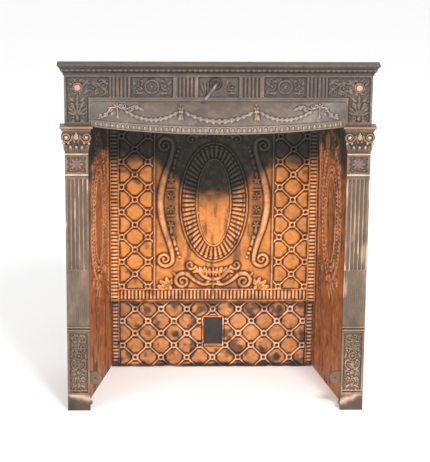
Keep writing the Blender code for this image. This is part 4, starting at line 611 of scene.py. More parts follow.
def band_path():
    """The centre line and widths of one C-shaped band, from eye to eye, on the right side."""
    rise = 0.1586
    heart = (0.13, ORNAMENT_MIDDLE + rise)
    coil = curl(heart, 0.0045, 0.0215, -380.0, 170.0, 44)
    start = coil[-1]
    run = curve(start, (start[0] - 0.001, start[1] - 0.048), (0.14, ORNAMENT_MIDDLE + 0.075),
                (0.1425, ORNAMENT_MIDDLE), steps=24)
    upper = coil + run[1:]
    widths = [0.004 + 0.008 * (k / 44) for k in range(45)]
    widths += [0.012 + 0.006 * math.sin(math.pi / 2 * (k + 1) / 24) for k in range(24)]
    lower = [(a, 2 * ORNAMENT_MIDDLE - u) for a, u in reversed(upper)][1:]
    return upper + lower, widths + widths[::-1][1:]


def husk_chain(relief, side, fold):
    """Raise the hanging husks, flowers and beads beside the oval."""
    half = Half(relief, side, level=ORNAMENT_MIDDLE, fold=fold)
    relief.flower(half.at(0.114, 0.018), 0.0105, 5, 0.0036, turn=fold * 90.0)
    half.stroke([(0.104, 0.036), (0.124, 0.036)], 0.0048, 0.0032)
    relief.flower(half.at(0.1135, 0.062), 0.011, 5, 0.0038, turn=fold * 90.0)
    relief.ring(half.at(0.1135, 0.062), 0.0042, 0.0026, 0.0046)
    half.leaves((((0.1125, 0.088), (0.1135, 0.068), 0.013), ((0.102, 0.124), (0.106, 0.1), 0.012)),
                0.0034, lobes=2)
    for place, radius, height in (((0.1075, 0.097), 0.0058, 0.004), ((0.0985, 0.13), 0.005, 0.0036),
                                  ((0.0945, 0.142), 0.0044, 0.0034), ((0.0905, 0.153), 0.0038, 0.003)):
        half.knob(place, radius, height)


CUP_LEAVES = (
    ((0.007, -0.208), (0.011, -0.183), 0.012), ((0.015, -0.207), (0.024, -0.179), 0.013),
    ((0.024, -0.204), (0.038, -0.18), 0.013), ((0.033, -0.199), (0.049, -0.185), 0.011),
    ((0.042, -0.19), (0.056, -0.196), 0.01), ((0.012, -0.212), (0.029, -0.205), 0.011),
    ((0.006, -0.216), (0.022, -0.229), 0.011),
)
FAN_TIPS = (((0.153, -0.235), 0.016), ((0.145, -0.218), 0.016), ((0.127, -0.208), 0.015),
            ((0.11, -0.213), 0.012), ((0.15, -0.244), 0.01))


def acanthus(relief, fold):
    """Raise the leafy spray between the oval and the large scrolls."""
    for side in (1, -1):
        half = Half(relief, side, level=ORNAMENT_MIDDLE, fold=fold)
        small = half.scroll((0.061, -0.174), (0.004, 0.0142), 560.0, -360.0, 34, 0.0082, 0.0044, 0.0046)
        arm = curve(small[-1], half.at(0.04, -0.19), half.at(0.028, -0.215), half.at(0.0, -0.215),
                    steps=12)
        relief.stroke(arm, np.linspace(0.007, 0.012, len(arm)), 0.0044)
        cup = [(root, tip, width * 1.3) for root, tip, width in CUP_LEAVES]
        half.leaves(cup, 0.0052, belly=0.6, lobes=3)
        large = half.scroll((0.082, -0.22), (0.0052, 0.0225), -430.0, 560.0, 34, 0.0128, 0.005, 0.0064)
        tail = curve(large[-1], half.at(0.055, -0.2135), half.at(0.04, -0.229), half.at(0.025, -0.23),
                     steps=12)
        tail += curve(tail[-1], half.at(0.016, -0.231), half.at(0.008, -0.227), half.at(0.0, -0.227),
                      steps=8)[1:]
        relief.stroke(tail, np.linspace(0.011, 0.006, len(tail)), 0.0048)
        fan = [((0.118, -0.24), tip, width * 1.25) for tip, width in FAN_TIPS]
        half.leaves(fan, 0.0046, belly=0.6, lobes=3)
        half.knob((0.115, -0.24), 0.0064, 0.005)
        half.leaves([((0.098, -0.206), (0.109, -0.195), 0.01)], 0.0036, lobes=2)
    middle = Half(relief, 1, level=ORNAMENT_MIDDLE, fold=fold)
    middle.knob((0.0, -0.215), 0.008, 0.0056)
    middle.leaves([((0.0, -0.208), (0.0, -0.18), 0.013)], 0.0052, lobes=3)
    middle.leaves([((0.0, -0.22), (0.0, -0.242), 0.011)], 0.0044)


def soot_on_back(a, u):
    """How sooty the fireback is at a place: a broad soft cloud that hangs from the top."""
    x = np.abs(a)
    edge = 0.488 + 0.052 * ramp(x, 0.05, 0.11) + 0.044 * ramp(x, 0.11, 0.17)
    edge = edge - 0.012 * noise(a, u, 0.05, 3)
    cloud = ramp(u + 0.01 * noise(a, u, 0.02, 4), edge - 0.04, edge + 0.026)
    between = np.exp(-((x - 0.114 + 0.1 * np.abs(u - 0.47) ** 1.5) / 0.017) ** 4)
    haze = 0.62 * between * ramp(u + 0.012 * noise(a, u, 0.02, 6), 0.352, 0.385)
    haze = np.maximum(haze, 0.4 * ramp(u + 0.03 * noise(a, u, 0.03, 5), 0.44, 0.53) * (x < 0.16))
    blots = 0.6 * ramp(noise(a, u, 0.028, 12), 0.36, 0.72) * (x > 0.155)
    streaks = 0.6 * ramp(noise(a, u * 0.18, 0.009, 14), 0.0, 0.55) * (x < 0.1)
    smudge = 0.5 * ramp(noise(a, u, 0.045, 16), 0.18, 0.55) * ramp(u, 0.33, 0.24) * (x < 0.155)
    foot = 0.75 * ramp(noise(a, u * 2.0, 0.03, 18) + 0.3, 0.15, 0.6) * ramp(u, 0.201, 0.193)
    return np.clip(np.maximum.reduce([cloud, haze, blots, streaks, smudge, foot]), 0.0, 1.0)


def upper_side(relief, side):
    """Raise the lattice, the lines, the ladder and the scroll band of one side."""
    low, high = sorted((side * FIELD_NEAR, side * FIELD_FAR))
    part, a, u = relief.window(low, FIELD_FOOT, high, FIELD_HEAD)
    lattice(relief, part, a, u, side * 0.21 + PITCH, 0.2345, (low, high, FIELD_FOOT, FIELD_HEAD))
    for line, foot, top, width, height in ((LINE, 0.189, 0.751, 0.0036, 0.003),
                                           (0.274, 0.189, 0.751, 0.0036, 0.0034),
                                           (0.158, 0.225, 0.715, 0.0046, 0.003)):
        relief.stroke(mirror([(line, foot), (line, top)], side), width, height)
    near, far = sorted((side * BAR_NEAR, side * 0.2727))
    ladder(relief, near, far, 0.1895, 0.7495, BAR_PITCH)
    path, widths = band_path()
    relief.stroke(mirror(path, side), widths, 0.0046)
    for end in (0, -1):
        relief.knob((side * path[end][0], path[end][1]), 0.0052, 0.0052)
    for fold in (1, -1):
        husk_chain(relief, side, fold)


def make_fireback_upper(material):
    """Dress the upper fireback plate."""
    along = spaced((-PLATE_HALF, -0.158, 0.0021), (-0.158, 0.158, 0.00185), (0.158, PLATE_HALF, 0.0021))
    up = spaced((PLATE_FOOT, 0.225, 0.0018), (0.225, 0.715, 0.0018), (0.715, 0.752, 0.0022),
                (0.752, PLATE_TOP, 0.008))
    relief = Relief(along, up)
    for side in (1, -1):
        upper_side(relief, side)
    oval_ring(relief)
    for fold in (1, -1):
        acanthus(relief, fold)
    for low in (0.1978, 0.716):
        ladder(relief, -0.2506, 0.2506, low, low + 0.026, REED_PITCH, 0.003, upright=True)
    for level in (0.1945, 0.2257, 0.7143, 0.7455):
        relief.stroke([(-0.252, level), (0.252, level)], 0.004, 0.0026)
    a, u = relief.grid
    relief.height += 0.00022 * noise(a, u, 0.012, 8)
    relief.soot = soot_on_back(a, u)
    relief.calm = np.maximum(relief.calm, 0.45 * ((np.abs(a) < 0.156) & (u > 0.226) & (u < 0.714)))
    # A small deep darkens hollows strongly: painted shade along the edges of bands and beads
    parts = plate_parts(relief, facing(BACK_PLANE), 0.006, deep=0.0006)
    for side in (1, -1):
        near, far = sorted((side * 0.2612, side * PLATE_HALF))
        parts.append(box_part((near, 0.3055, 0.2053), (far, 0.3133, PLATE_TOP)))
    item = combine_parts("fireback_upper_casting", parts)
    settle(item, "fireback_upper", "frame", material)


# Black spots on the lower plate: place along and up, size and strength
SPOTS = (
    (0.179, 0.165, 0.017, 0.9), (0.136, 0.052, 0.016, 0.95), (0.176, 0.031, 0.017, 0.95),
    (-0.099, 0.095, 0.015, 0.9), (-0.175, 0.099, 0.013, 0.55), (-0.065, 0.16, 0.013, 0.7),
    (-0.203, 0.165, 0.012, 0.8), (-0.135, 0.028, 0.014, 0.8), (0.07, 0.03, 0.011, 0.6),
    (-0.225, 0.035, 0.014, 0.75), (0.23, 0.03, 0.013, 0.6),
)


def soot_and_shade_on_lower(relief):
    """How sooty the lower plate is: blots, dark foot and head and round spots, with painted shade towards
    its ends.
    """
    a, u = relief.grid
    blots = ramp(noise(a, u, 0.024, 23), 0.1, 0.5) * (1.0 - 0.55 * relief.highlight_and_rubbing)
    foot = ramp(0.016 + 0.014 * noise(a, u, 0.03, 24) - u, -0.006, 0.008)
    head = 0.8 * ramp(u + 0.02 * noise(a, u, 0.02, 25), 0.165, 0.188)
    # Painted shade towards both ends of the plate, drawn in the soot map
    ends = 0.4 * ramp(np.abs(a) + 0.02 * noise(a, u, 0.04, 26), 0.225, 0.262)
    ragged = 0.006 * noise(a, u, 0.012, 27)
    spots = np.zeros_like(a)
    for x, z, size, strength in SPOTS:
        away = np.hypot(a - x, u - z) + ragged
        spots = np.maximum(spots, strength * ramp(away, size, size * 0.45))
    spots = spots * (1.0 - 0.65 * relief.highlight_and_rubbing)
    return np.clip(np.maximum.reduce([0.8 * blots, foot, head, ends, spots]), 0.0, 1.0)


def within(lines, low, high):
    """Tell for each gap between grid lines whether it lies inside two limits."""
    middle = (lines[:-1] + lines[1:]) / 2
    return (middle > low) & (middle < high)


def pierced_parts(relief):
    """The lower plate as a closed slab with an uneven foot and the pipe opening through it."""
    along, up = relief.along, relief.up
    a, u = relief.grid
    x, y, z = facing(LOWER_PLANE)(a, u, relief.height)
    drop = 0.0035 * np.clip(noise(a, u * 0.0, 0.035, 31), 0.0, 1.0)
    z = z + drop * (1.0 - ramp(u, 0.0, 0.012))
    keep = ~np.outer(within(up, PIPE_LOW, PIPE_HIGH), within(along, PIPE_LEFT, PIPE_RIGHT))
    parts = [grid_part(x, y, z, face_marks(relief), mask=keep)]
    back = np.full_like(y, FACE + LOWER_PLANE + 0.007)
    i0, i1 = np.searchsorted(along, (PIPE_LEFT, PIPE_RIGHT)).tolist()
    j0, j1 = np.searchsorted(up, (PIPE_LOW, PIPE_HIGH)).tolist()
    rows = sorted({0, j0, j1, len(up) - 1})
    columns = sorted({*range(0, len(along), 12), i0, i1, len(along) - 1})
    pick = np.ix_(rows, columns)
    keep = ~np.outer(within(up[rows], PIPE_LOW, PIPE_HIGH), within(along[columns], PIPE_LEFT, PIPE_RIGHT))
    parts.append(grid_part(x[pick], back[pick], z[pick], {}, True, keep))
    whole, tall, wide = slice(None), slice(j0, j1 + 1), slice(i0, i1 + 1)
    for edge, turn in (((whole, 0), True), ((whole, -1), False), ((0, whole), False), ((-1, whole), True),
                       ((tall, i0), False), ((tall, i1), True), ((j0, wide), True), ((j1, wide), False)):
        parts.append(grid_part(np.stack([x[edge]] * 2), np.stack([back[edge], y[edge]]),
                               np.stack([z[edge]] * 2), {}, turn))
    return parts


def make_fireback_lower(material):
    """Dress the lower fireback plate with its pipe opening and uneven foot."""
    along = spaced((-LOWER_HALF, PIPE_LEFT, 0.00195), (PIPE_LEFT, PIPE_RIGHT, 0.0021),
                   (PIPE_RIGHT, LOWER_HALF, 0.00195))
    up = spaced((0.0, PIPE_LOW, 0.00195), (PIPE_LOW, PIPE_HIGH, 0.002), (PIPE_HIGH, LOWER_TOP, 0.00195))
    relief = Relief(along, up)
    limits = (-FIELD_FAR, FIELD_FAR, 0.004, 0.204)
    part, a, u = relief.window(-FIELD_FAR, 0.004, FIELD_FAR, 0.204)
    lattice(relief, part, a, u, 0.0, 0.0283, limits, pillow=0.003, broad=0.0033)
    for side in (1, -1):
        relief.stroke(mirror([(LINE, 0.004), (LINE, 0.188)], side), 0.0036, 0.003)
        near, far = sorted((side * BAR_NEAR, side * 0.27))
        ladder(relief, near, far, 0.004, 0.184, BAR_PITCH)
    relief.stroke([(-0.27, 0.003), (0.27, 0.003)], 0.004, 0.0024)
    part, a, u = relief.window(PIPE_LEFT - 0.006, PIPE_LOW - 0.006, PIPE_RIGHT + 0.006, PIPE_HIGH + 0.006)
    relief.height[part] = 0.0
    left, right = PIPE_LEFT - 0.0026, PIPE_RIGHT + 0.0026
    low, high = PIPE_LOW - 0.0026, PIPE_HIGH + 0.0026
    relief.stroke([(left, low), (right, low), (right, high), (left, high), (left, low)], 0.005,
                  0.0024, flat_top)
    a, u = relief.grid
    relief.height += 0.00025 * noise(a, u, 0.01, 21)
    # This soot map also carries the painted shade towards the plate's ends
    relief.soot = soot_and_shade_on_lower(relief)
    item = combine_parts("fireback_lower_casting", pierced_parts(relief))
    settle(item, "fireback_lower", "frame", material)


# the side plates
JAMB_START = np.array([0.3378, 0.02])
JAMB_END = np.array([0.2765, 0.2997])


def jamb_axes():
    """Direction along the right side plate and its inward normal, with its length."""
    run = JAMB_END - JAMB_START
    length = float(np.hypot(*run))
    run = run / length
    return run, np.array([-run[1], run[0]]), length


def jamb_place(side):
    """Map along, up and height to the inner face of one side plate."""
    run, inward, _ = jamb_axes()
    def place(a, u, h):
        x = JAMB_START[0] + run[0] * a + inward[0] * h
        y = JAMB_START[1] + run[1] * a + inward[1] * h
        return side * x, FACE + y, u
    return place


def jamb_ornament(relief, middle):
    """Raise the long oval of a side plate with its beads, its leaves and its scrolls."""
    heart = (middle, 0.465)
    part, a, u = relief.window(middle - 0.05, 0.33, middle + 0.05, 0.6)
    share = np.hypot((a - heart[0]) / 0.04, (u - heart[1]) / 0.116)
    dish = 0.003 - 0.0022 * (1 - np.clip(share, 0, 1) ** 2)
    relief.lift(part, np.where(share < 1.0, dish, BELOW))
    relief.ring(heart, 0.0415, 0.0042, 0.0042, 0.118 / 0.0415)
    relief.beads(arc(heart, 0.053, 0.0, 360.0, 90, 0.133 / 0.053), 0.0105, 0.0046, 0.004)
    relief.ring(heart, 0.06, 0.003, 0.003, 0.142 / 0.06)
    for hand in (1, -1):
        half = Half(relief, hand, middle)
        outer = half.sweep((0.006, 0.296), (0.098, 0.34), (0.096, 0.59), (0.006, 0.692), steps=40)
        relief.beads(outer, 0.0125, 0.0058, 0.0038, 1.1)
        relief.stroke([(a + hand * 0.0085, u) for a, u in outer[3:-6]], 0.0036, 0.0026)
        for root, tip, width, height, lobes in (((0.008, 0.615), (0.04, 0.676), 0.022, 0.0042, 4),
                                                ((0.004, 0.62), (0.02, 0.7), 0.018, 0.004, 4),
                                                ((0.008, 0.306), (0.042, 0.28), 0.018, 0.004, 3),
                                                ((0.004, 0.3), (0.022, 0.256), 0.015, 0.0036, 3)):
            half.leaves([(root, tip, width)], height, lobes=lobes)
        half.scroll((0.056, 0.62), (0.004, 0.014), 90.0, 330.0, 22, 0.007, 0.0036, 0.0044)
        half.scroll((0.056, 0.31), (0.004, 0.013), -90.0, -330.0, 22, 0.007, 0.0036, 0.0044)
    relief.leaf((middle, 0.608), (middle, 0.705), 0.03, 0.0048, lobes=5)
    relief.ring((middle, 0.65), 0.007, 0.004, 0.005)
    relief.knob((middle, 0.306), 0.0095, 0.005)
    relief.leaf((middle, 0.298), (middle, 0.243), 0.022, 0.0044, lobes=4)
    for line in (0.025, 0.264):
        relief.stroke([(line, 0.23), (line, 0.725)], 0.004, 0.0026)
    for line in (0.037, 0.25):
        relief.beads([(line, 0.245), (line, 0.715)], 0.0105, 0.0036, 0.0026, 1.3)
    relief.stroke([(0.025, 0.725), (0.264, 0.725)], 0.004, 0.0026)


def jamb_stains(relief, side, length):
    """Set the soot and the rubbed streaks of a side plate, and a painted highlight along its rear edge.
    """
    a, u = relief.grid
    edge = (0.64 if side > 0 else 0.6) - 0.045 * noise(a, u, 0.045,
                                                       43 + side) - 0.09 * (1.0 - ramp(a, 0.0, 0.14))
    cloud = ramp(u + 0.03 * noise(a, u, 0.02, 47 + side), edge - 0.03, edge + 0.05)
    grain = noise(a, u * 0.22, 0.014, 51 + side) + 0.4 * noise(a, u * 0.4, 0.006, 53 + side)
    near_leg = (0.9 if side < 0 else 0.45) * ramp(0.075 + 0.02 * noise(a, u * 0.4, 0.02, 55) - a,
                                                  -0.01, 0.03)
    near_leg = near_leg * ramp(u + 0.05 * noise(a, u, 0.03, 57), 0.3, 0.55)
    streaks = 0.72 * ramp(grain, 0.1, 0.7)
    relief.soot = np.clip(np.maximum.reduce([cloud, streaks, near_leg]), 0.0, 1.0)
    relief.highlight_and_rubbing = 0.55 * ramp(noise(a, u * 0.2, 0.01, 59 + side), 0.3, 0.75)
    part, a, u = relief.window(0.26, 0.0, length, 0.187)
    # Painted highlight along the rear edge of the lower part, where the plate meets the lower fireback;
    # soot is cleared under it
    rear_edge = np.exp(-((a - length + 0.015) / 0.003) ** 2)
    relief.highlight_and_rubbing[part] = np.maximum(relief.highlight_and_rubbing[part], rear_edge)
    relief.soot[part] = relief.soot[part] * (1.0 - rear_edge)


def jamb_flanges(side):
    """The front and rear flanges of a side plate and the web between plate and rear flange."""
    front = [(LEG_INNER + 0.0003, 0.012), (LEG_INNER + 0.0213, 0.012), (LEG_INNER + 0.0213, 0.02),
             (LEG_INNER + 0.0003, 0.02)]
    rear = [(0.2555, 0.3136), (0.2835, 0.3136), (0.2835, 0.3196), (0.2555, 0.3196)]
    web = [(0.2765, 0.2985), (0.2833, 0.2985), (0.2833, 0.315), (0.2765, 0.315)]
    parts = []
    for plan, top in ((front, LEG_TOP), (rear, PLATE_TOP), (web, PLATE_TOP)):
        marks = {"soot": np.repeat([0.0, 0.6], 4)}
        points, faces, marks = block_part(mirror(plan, side), 0.0, top, marks)
        parts.append((points, turned(faces, side), marks))
    return parts


def turned(faces, side):
    """Faces as they are on the right side, and turned over on the left."""
    return faces if side > 0 else [tuple(face)[::-1] for face in faces]


def named(stem, side):
    """The name of the piece of one side."""
    return stem + ("_right" if side > 0 else "_left")


def make_jamb(side, material):
    """Dress one side plate: long oval, beads, pointed leaves and flanges."""
    length = jamb_axes()[2]
    along = spaced((0.0, 0.03, 0.003), (0.03, 0.27, 0.00215), (0.27, length, 0.003))
    up = spaced((0.0, 0.22, 0.004), (0.22, 0.73, 0.0021), (0.73, PLATE_TOP, 0.008))
    relief = Relief(along, up)
    jamb_ornament(relief, 0.1585)
    a, u = relief.grid
    relief.height += 0.00025 * noise(a, u, 0.012, 41 + side)
    jamb_stains(relief, side, length)
    parts = plate_parts(relief, jamb_place(side), 0.007, flip=side > 0, deep=0.0016) + jamb_flanges(side)
    name = named("jamb", side)
    settle(combine_parts(name + "_casting", parts), name, "frame", material)


# the hood
HOOD_HALF = 0.3162
HOOD_TOP = 0.8219
HOOD_RIM_TOP = 0.778
HOOD_RIM_FOOT = 0.76
HOOD_BULGE = 0.073


def hood_bow(a):
    """How far the plan of the hood has bowed out at a place, from 0 to 1."""
    radius = (HOOD_HALF ** 2 + HOOD_BULGE ** 2) / (2 * HOOD_BULGE)
    reach = np.sqrt(np.maximum(radius ** 2 - a ** 2, 0.0)) - (radius - HOOD_BULGE)
    return np.maximum(reach, 0.0) / HOOD_BULGE


def hood_face(a, u):
    """Depth of the hood's outer face."""
    fall = np.clip((HOOD_TOP - u) / (HOOD_TOP - HOOD_RIM_TOP), 0.0, 1.0)
    share = 0.93 * (fall + 0.22 * fall * (1.0 - fall))
    rim = np.clip((HOOD_RIM_TOP - u) / (HOOD_RIM_TOP - HOOD_RIM_FOOT), 0.0, 1.0)
    share = share + 0.07 * rim
    step = 0.002 * ramp(HOOD_RIM_TOP - u, -0.001, 0.0014)
    return -HOOD_BULGE * hood_bow(a) * share - step


def hood_place(a, u, h):
    """Map along, up and height to the bowed face of the hood."""
    d = 0.0005
    slope_a = (hood_face(a + d, u) - hood_face(a - d, u)) / (2 * d)
    slope_u = (hood_face(a, u + d) - hood_face(a, u - d)) / (2 * d)
    slope_u = np.clip(slope_u, 0.0, 1.6)
    size = np.sqrt(slope_a ** 2 + 1.0 + slope_u ** 2)
    x = np.clip(a + h * slope_a / size, -HOOD_HALF, HOOD_HALF)
    return x, FACE + hood_face(a, u) - h / size, u + h * slope_u / size


def swag(relief, start, end, level, drop):
    """Raise one hanging garland of husks that swell to the middle."""
    count = 11
    for k in range(count):
        near = k / count
        far = (k + 1.02) / count
        ends = [(start + (end - start) * share, level - drop * (1.0 - (2.0 * share - 1.0) ** 2))
                for share in (near, far)]
        swell = 0.0048 + 0.003 * (1.0 - (near + far - 1.0) ** 2)
        root, tip = ends if k < count / 2 else ends[::-1]
        relief.leaf(root, tip, swell * 1.5, 0.0034, belly=0.62, vein=0.25)
        relief.knob(tip, swell * 0.34, 0.0032)


# Curls of one bow: heart, radii, first angle and turn
BOW_CURLS = (
    ((0.233, 0.8135), (0.0018, 0.0066), 0.0, 400.0), ((0.217, 0.8085), (0.0018, 0.0072), 180.0, -400.0),
    ((0.201, 0.812), (0.0016, 0.0056), 0.0, 380.0), ((0.268, 0.804), (0.0018, 0.007), 90.0, -400.0),
    ((0.279, 0.7935), (0.0016, 0.0062), -90.0, 400.0), ((0.292, 0.789), (0.0014, 0.005), 90.0, -380.0),
)


def bow_knot(relief, side):
    """Raise the ribbon bow with its flower, its curling ends and its pendant."""
    half = Half(relief, side)
    relief.flower(half.at(0.25, 0.8125), 0.012, 6, 0.0044, stretch=0.7)
    half.knob((0.25, 0.8125), 0.0036, 0.0056, 0.8)
    for heart, radii, start, turn in BOW_CURLS:
        half.scroll(heart, radii, start, turn, 24, 0.005, 0.0038, 0.0026, squeeze=0.85)
    half.stroke([(0.244, 0.809), (0.229, 0.807), (0.209, 0.814), (0.196, 0.81)], 0.004, 0.0034)
    half.stroke([(0.256, 0.81), (0.264, 0.8105), (0.274, 0.798), (0.288, 0.784)], 0.0044, 0.0036)
    half.leaves([((0.198, 0.81), (0.184, 0.8065), 0.0085)], 0.0038, lobes=2)
    half.leaves([((0.226, 0.803), (0.213, 0.7985), 0.007), ((0.26, 0.8), (0.267, 0.79), 0.007)],
                0.0034, lobes=2)
    half.leaves([((0.29, 0.784), (0.3, 0.7815), 0.0065)], 0.0032)
    relief.beads([half.at(0.2495, 0.803), half.at(0.249, 0.795)], 0.0044, 0.0026, 0.0036)
    half.leaves([((0.249, 0.796), (0.2485, 0.785), 0.0085)], 0.0038, belly=0.6)


def make_hood(material):
    """Dress the bowed hood: garlands, bows, tassels and the egg moulding of its rim."""
    along = spaced((-HOOD_HALF, HOOD_HALF, 0.00165))
    up = spaced((HOOD_RIM_FOOT, HOOD_RIM_TOP, 0.00115), (HOOD_RIM_TOP, HOOD_TOP, 0.00112))
    relief = Relief(along, up)
    for start, end in ((-0.233, -0.101), (-0.085, 0.085), (0.101, 0.233)):
        swag(relief, start, end, 0.804, 0.0165)
    for side in (1, -1):
        bow_knot(relief, side)
        x = side * 0.0935
        relief.flower((x, 0.81), 0.0078, 5, 0.0038, stretch=0.8)
        relief.leaf((x, 0.814), (x, 0.8205), 0.006, 0.0032)
        for hand in (-1, 0, 1):
            relief.leaf((x + hand * 0.002, 0.804), (x + hand * 0.0058, 0.785), 0.0056, 0.0036, belly=0.65)
        relief.stroke([(x - 0.005, 0.804), (x + 0.005, 0.804)], 0.0036, 0.0034)
    pitch = 2 * (HOOD_HALF - 0.006) / 46
    for k in range(46):
        x = -HOOD_HALF + 0.006 + pitch * (k + 0.5)
        relief.ring((x, 0.7705), pitch * 0.41, 0.0022, 0.0018, 1.1)
        relief.knob((x, 0.7696), pitch * 0.28, 0.0032, 1.4)
        relief.stroke([(x + pitch / 2, 0.7745), (x + pitch / 2, 0.765)], 0.002, 0.0015)
    relief.stroke([(-HOOD_HALF, 0.7768), (HOOD_HALF, 0.7768)], 0.0026, 0.0014)
    relief.stroke([(-HOOD_HALF, 0.7615), (HOOD_HALF, 0.7615)], 0.0034, 0.0012)
    a, u = relief.grid
    near_end = ramp(np.abs(a), HOOD_HALF - 0.014, HOOD_HALF - 0.004)
    relief.height *= 1.0 - near_end
    # Painted shade on the plain ground towards both ends of the hood, above its rim, heavier on the left
    # end
    shade = ramp(np.abs(a) + 0.02 * noise(a, u, 0.03, 65), 0.215, 0.29)
    shade = shade * ramp(relief.height, 0.0022, 0.0004)
    relief.dark = (0.56 - 0.1 * np.sign(a)) * shade * ramp(u, 0.77, 0.785)
    relief.height += 0.00012 * noise(a, u, 0.009, 61)
    parts = plate_parts(relief, hood_place, 0.0062)
    parts.append(box_part((-HOOD_HALF, 0.0078, HOOD_TOP - 0.0065), (HOOD_HALF, 0.0143, HOOD_TOP + 0.016)))
    parts.append(box_part((-HOOD_HALF, 0.0002, HOOD_TOP - 0.0065), (HOOD_HALF, 0.01, HOOD_TOP - 0.0002)))
    item = combine_parts("hood_casting", parts)
    settle(item, "hood", "frame", material)


# the lintel
SUNK = 0.0025
PANEL_LOW = 0.8337
PANEL_HIGH = 0.8858


def sink(relief, outline_low, outline_high):
    """Sink a rectangular panel to the ground, with short sloping sides."""
    (a0, u0), (a1, u1) = outline_low, outline_high
    part, a, u = relief.window(a0, u0, a1, u1)
    edge = np.minimum.reduce([a - a0, a1 - a, u - u0, u1 - u])
    relief.height[part] = np.minimum(relief.height[part], SUNK * (1.0 - ramp(edge, 0.0, 0.0018)))


def flutes(relief, a0, a1, count, u0, u1, depth=0.0024, share=0.62, rounded=True):
    """Cut a row of upright grooves with rounded ends."""
    pitch = (a1 - a0) / count
    part, a, u = relief.window(a0, u0, a1, u1)
    phase = ((a - a0) / pitch) % 1.0
    half = pitch * share / 2
    off = np.abs(phase - 0.5) * pitch
    ends = np.minimum(u - u0, u1 - u)
    if rounded:
        off = np.hypot(off, np.maximum(half - ends, 0.0))
    q = np.clip(off / half, 0.0, 1.0)
    relief.height[part] -= depth * np.sqrt(1.0 - q * q)


def leafy_scroll(relief, heart, size, start, hand, weight=1.0):
    """Raise a scroll that ends in leaves."""
    coil = curl(heart, size * 0.22, size, start, start + hand * 360.0, 26)
    relief.scroll(coil, size * 0.42 * weight, SUNK, eye=size * 0.26)
    for k in (8, 13, 18, 23):
        a, u = coil[k]
        out_a, out_u = a - heart[0], u - heart[1]
        tip = (a + out_a * 0.62 + out_u * 0.35 * hand, u + out_u * 0.62 - out_a * 0.35 * hand)
        relief.leaf(coil[k], tip, size * 0.42, SUNK * 0.95, lobes=2)


def foliage(relief, side, low, high, seed, size=0.0078):
    """Fill a panel with small leaves that flow about, between the larger forms."""
    rng = np.random.default_rng(seed)
    for u in np.arange(low[1] + size * 0.45, high[1] - size * 0.2, size * 0.74):
        for a in np.arange(low[0] + size * 0.45, high[0] - size * 0.2, size * 0.82):
            root = np.array((a, u)) + rng.uniform(-0.25, 0.25, 2) * size
            turn = 2.4 * math.sin(a * 150.0) + 2.2 * math.cos(u * 130.0) + rng.uniform(-0.5, 0.5)
            step = size * rng.uniform(0.75, 1.15) * np.array((math.cos(turn), math.sin(turn)))
            tip = np.clip(root + step, np.array(low) + 0.001, np.array(high) - 0.001)
            relief.leaf((side * root[0], root[1]), (side * tip[0], tip[1]), size * 0.52,
                        SUNK * rng.uniform(0.55, 0.85), belly=0.55)


def frieze_corner(relief, side):
    """Raise the foliage of one angled corner panel."""
    foliage(relief, side, (0.271, PANEL_LOW + 0.001), (0.374, PANEL_HIGH - 0.001), 101)
    foliage(relief, side, (0.323, 0.773), (0.374, PANEL_LOW + 0.001), 103)
    half = Half(relief, side, level=(PANEL_LOW + PANEL_HIGH) / 2)
    leafy_scroll(relief, half.at(0.283, 0.002), 0.0115, 90.0 - side * 60.0, -side)
    leafy_scroll(relief, half.at(0.309, -0.001), 0.012, -90.0, side)
    relief.stroke(half.sweep((0.273, -0.015), (0.29, -0.002), (0.3, 0.018), (0.32, 0.008)), 0.0042, SUNK)
    half.leaves([((0.32, 0.008), (0.3345, 0.016), 0.01), ((0.32, -0.008), (0.335, -0.017), 0.01)],
                SUNK, lobes=3)
    half.leaves([((0.276, 0.012), (0.29, 0.019), 0.008), ((0.295, -0.013), (0.308, -0.019), 0.008)],
                SUNK, lobes=2)
    x, z = side * BOSS_PLACE[0], BOSS_PLACE[1]
    for turn in (25.0, 70.0, 110.0, 155.0, 250.0, 290.0):
        across, rise = math.cos(math.radians(turn)), math.sin(math.radians(turn))
        relief.leaf((x + 0.0135 * across, z + 0.0135 * rise), (x + 0.0235 * across, z + 0.0225 * rise),
                    0.0085, SUNK, lobes=2)
    drop = side * 0.3487
    relief.spray((drop, 0.788), 0.043, 7, 90.0, 150.0, 0.0082, SUNK, lobes=2)
    for hand in (1, -1):
        half = Half(relief, hand, drop)
        half.scroll((0.015, 0.813), (0.002, 0.0078), -90.0, 320.0, 18, 0.0042, SUNK, 0.0026)
        half.scroll((0.014, 0.78), (0.0018, 0.0066), 90.0, -320.0, 18, 0.004, SUNK, 0.0024)
        half.leaves([((0.008, 0.822), (0.02, 0.833), 0.0075)], SUNK, lobes=2)
        half.leaves([((0.005, 0.774), (0.021, 0.772), 0.0055)], SUNK)
    relief.knob((drop, 0.779), 0.0052, SUNK * 1.1, 1.3)
    relief.leaf((drop, 0.82), (drop, 0.842), 0.009, SUNK, lobes=3)


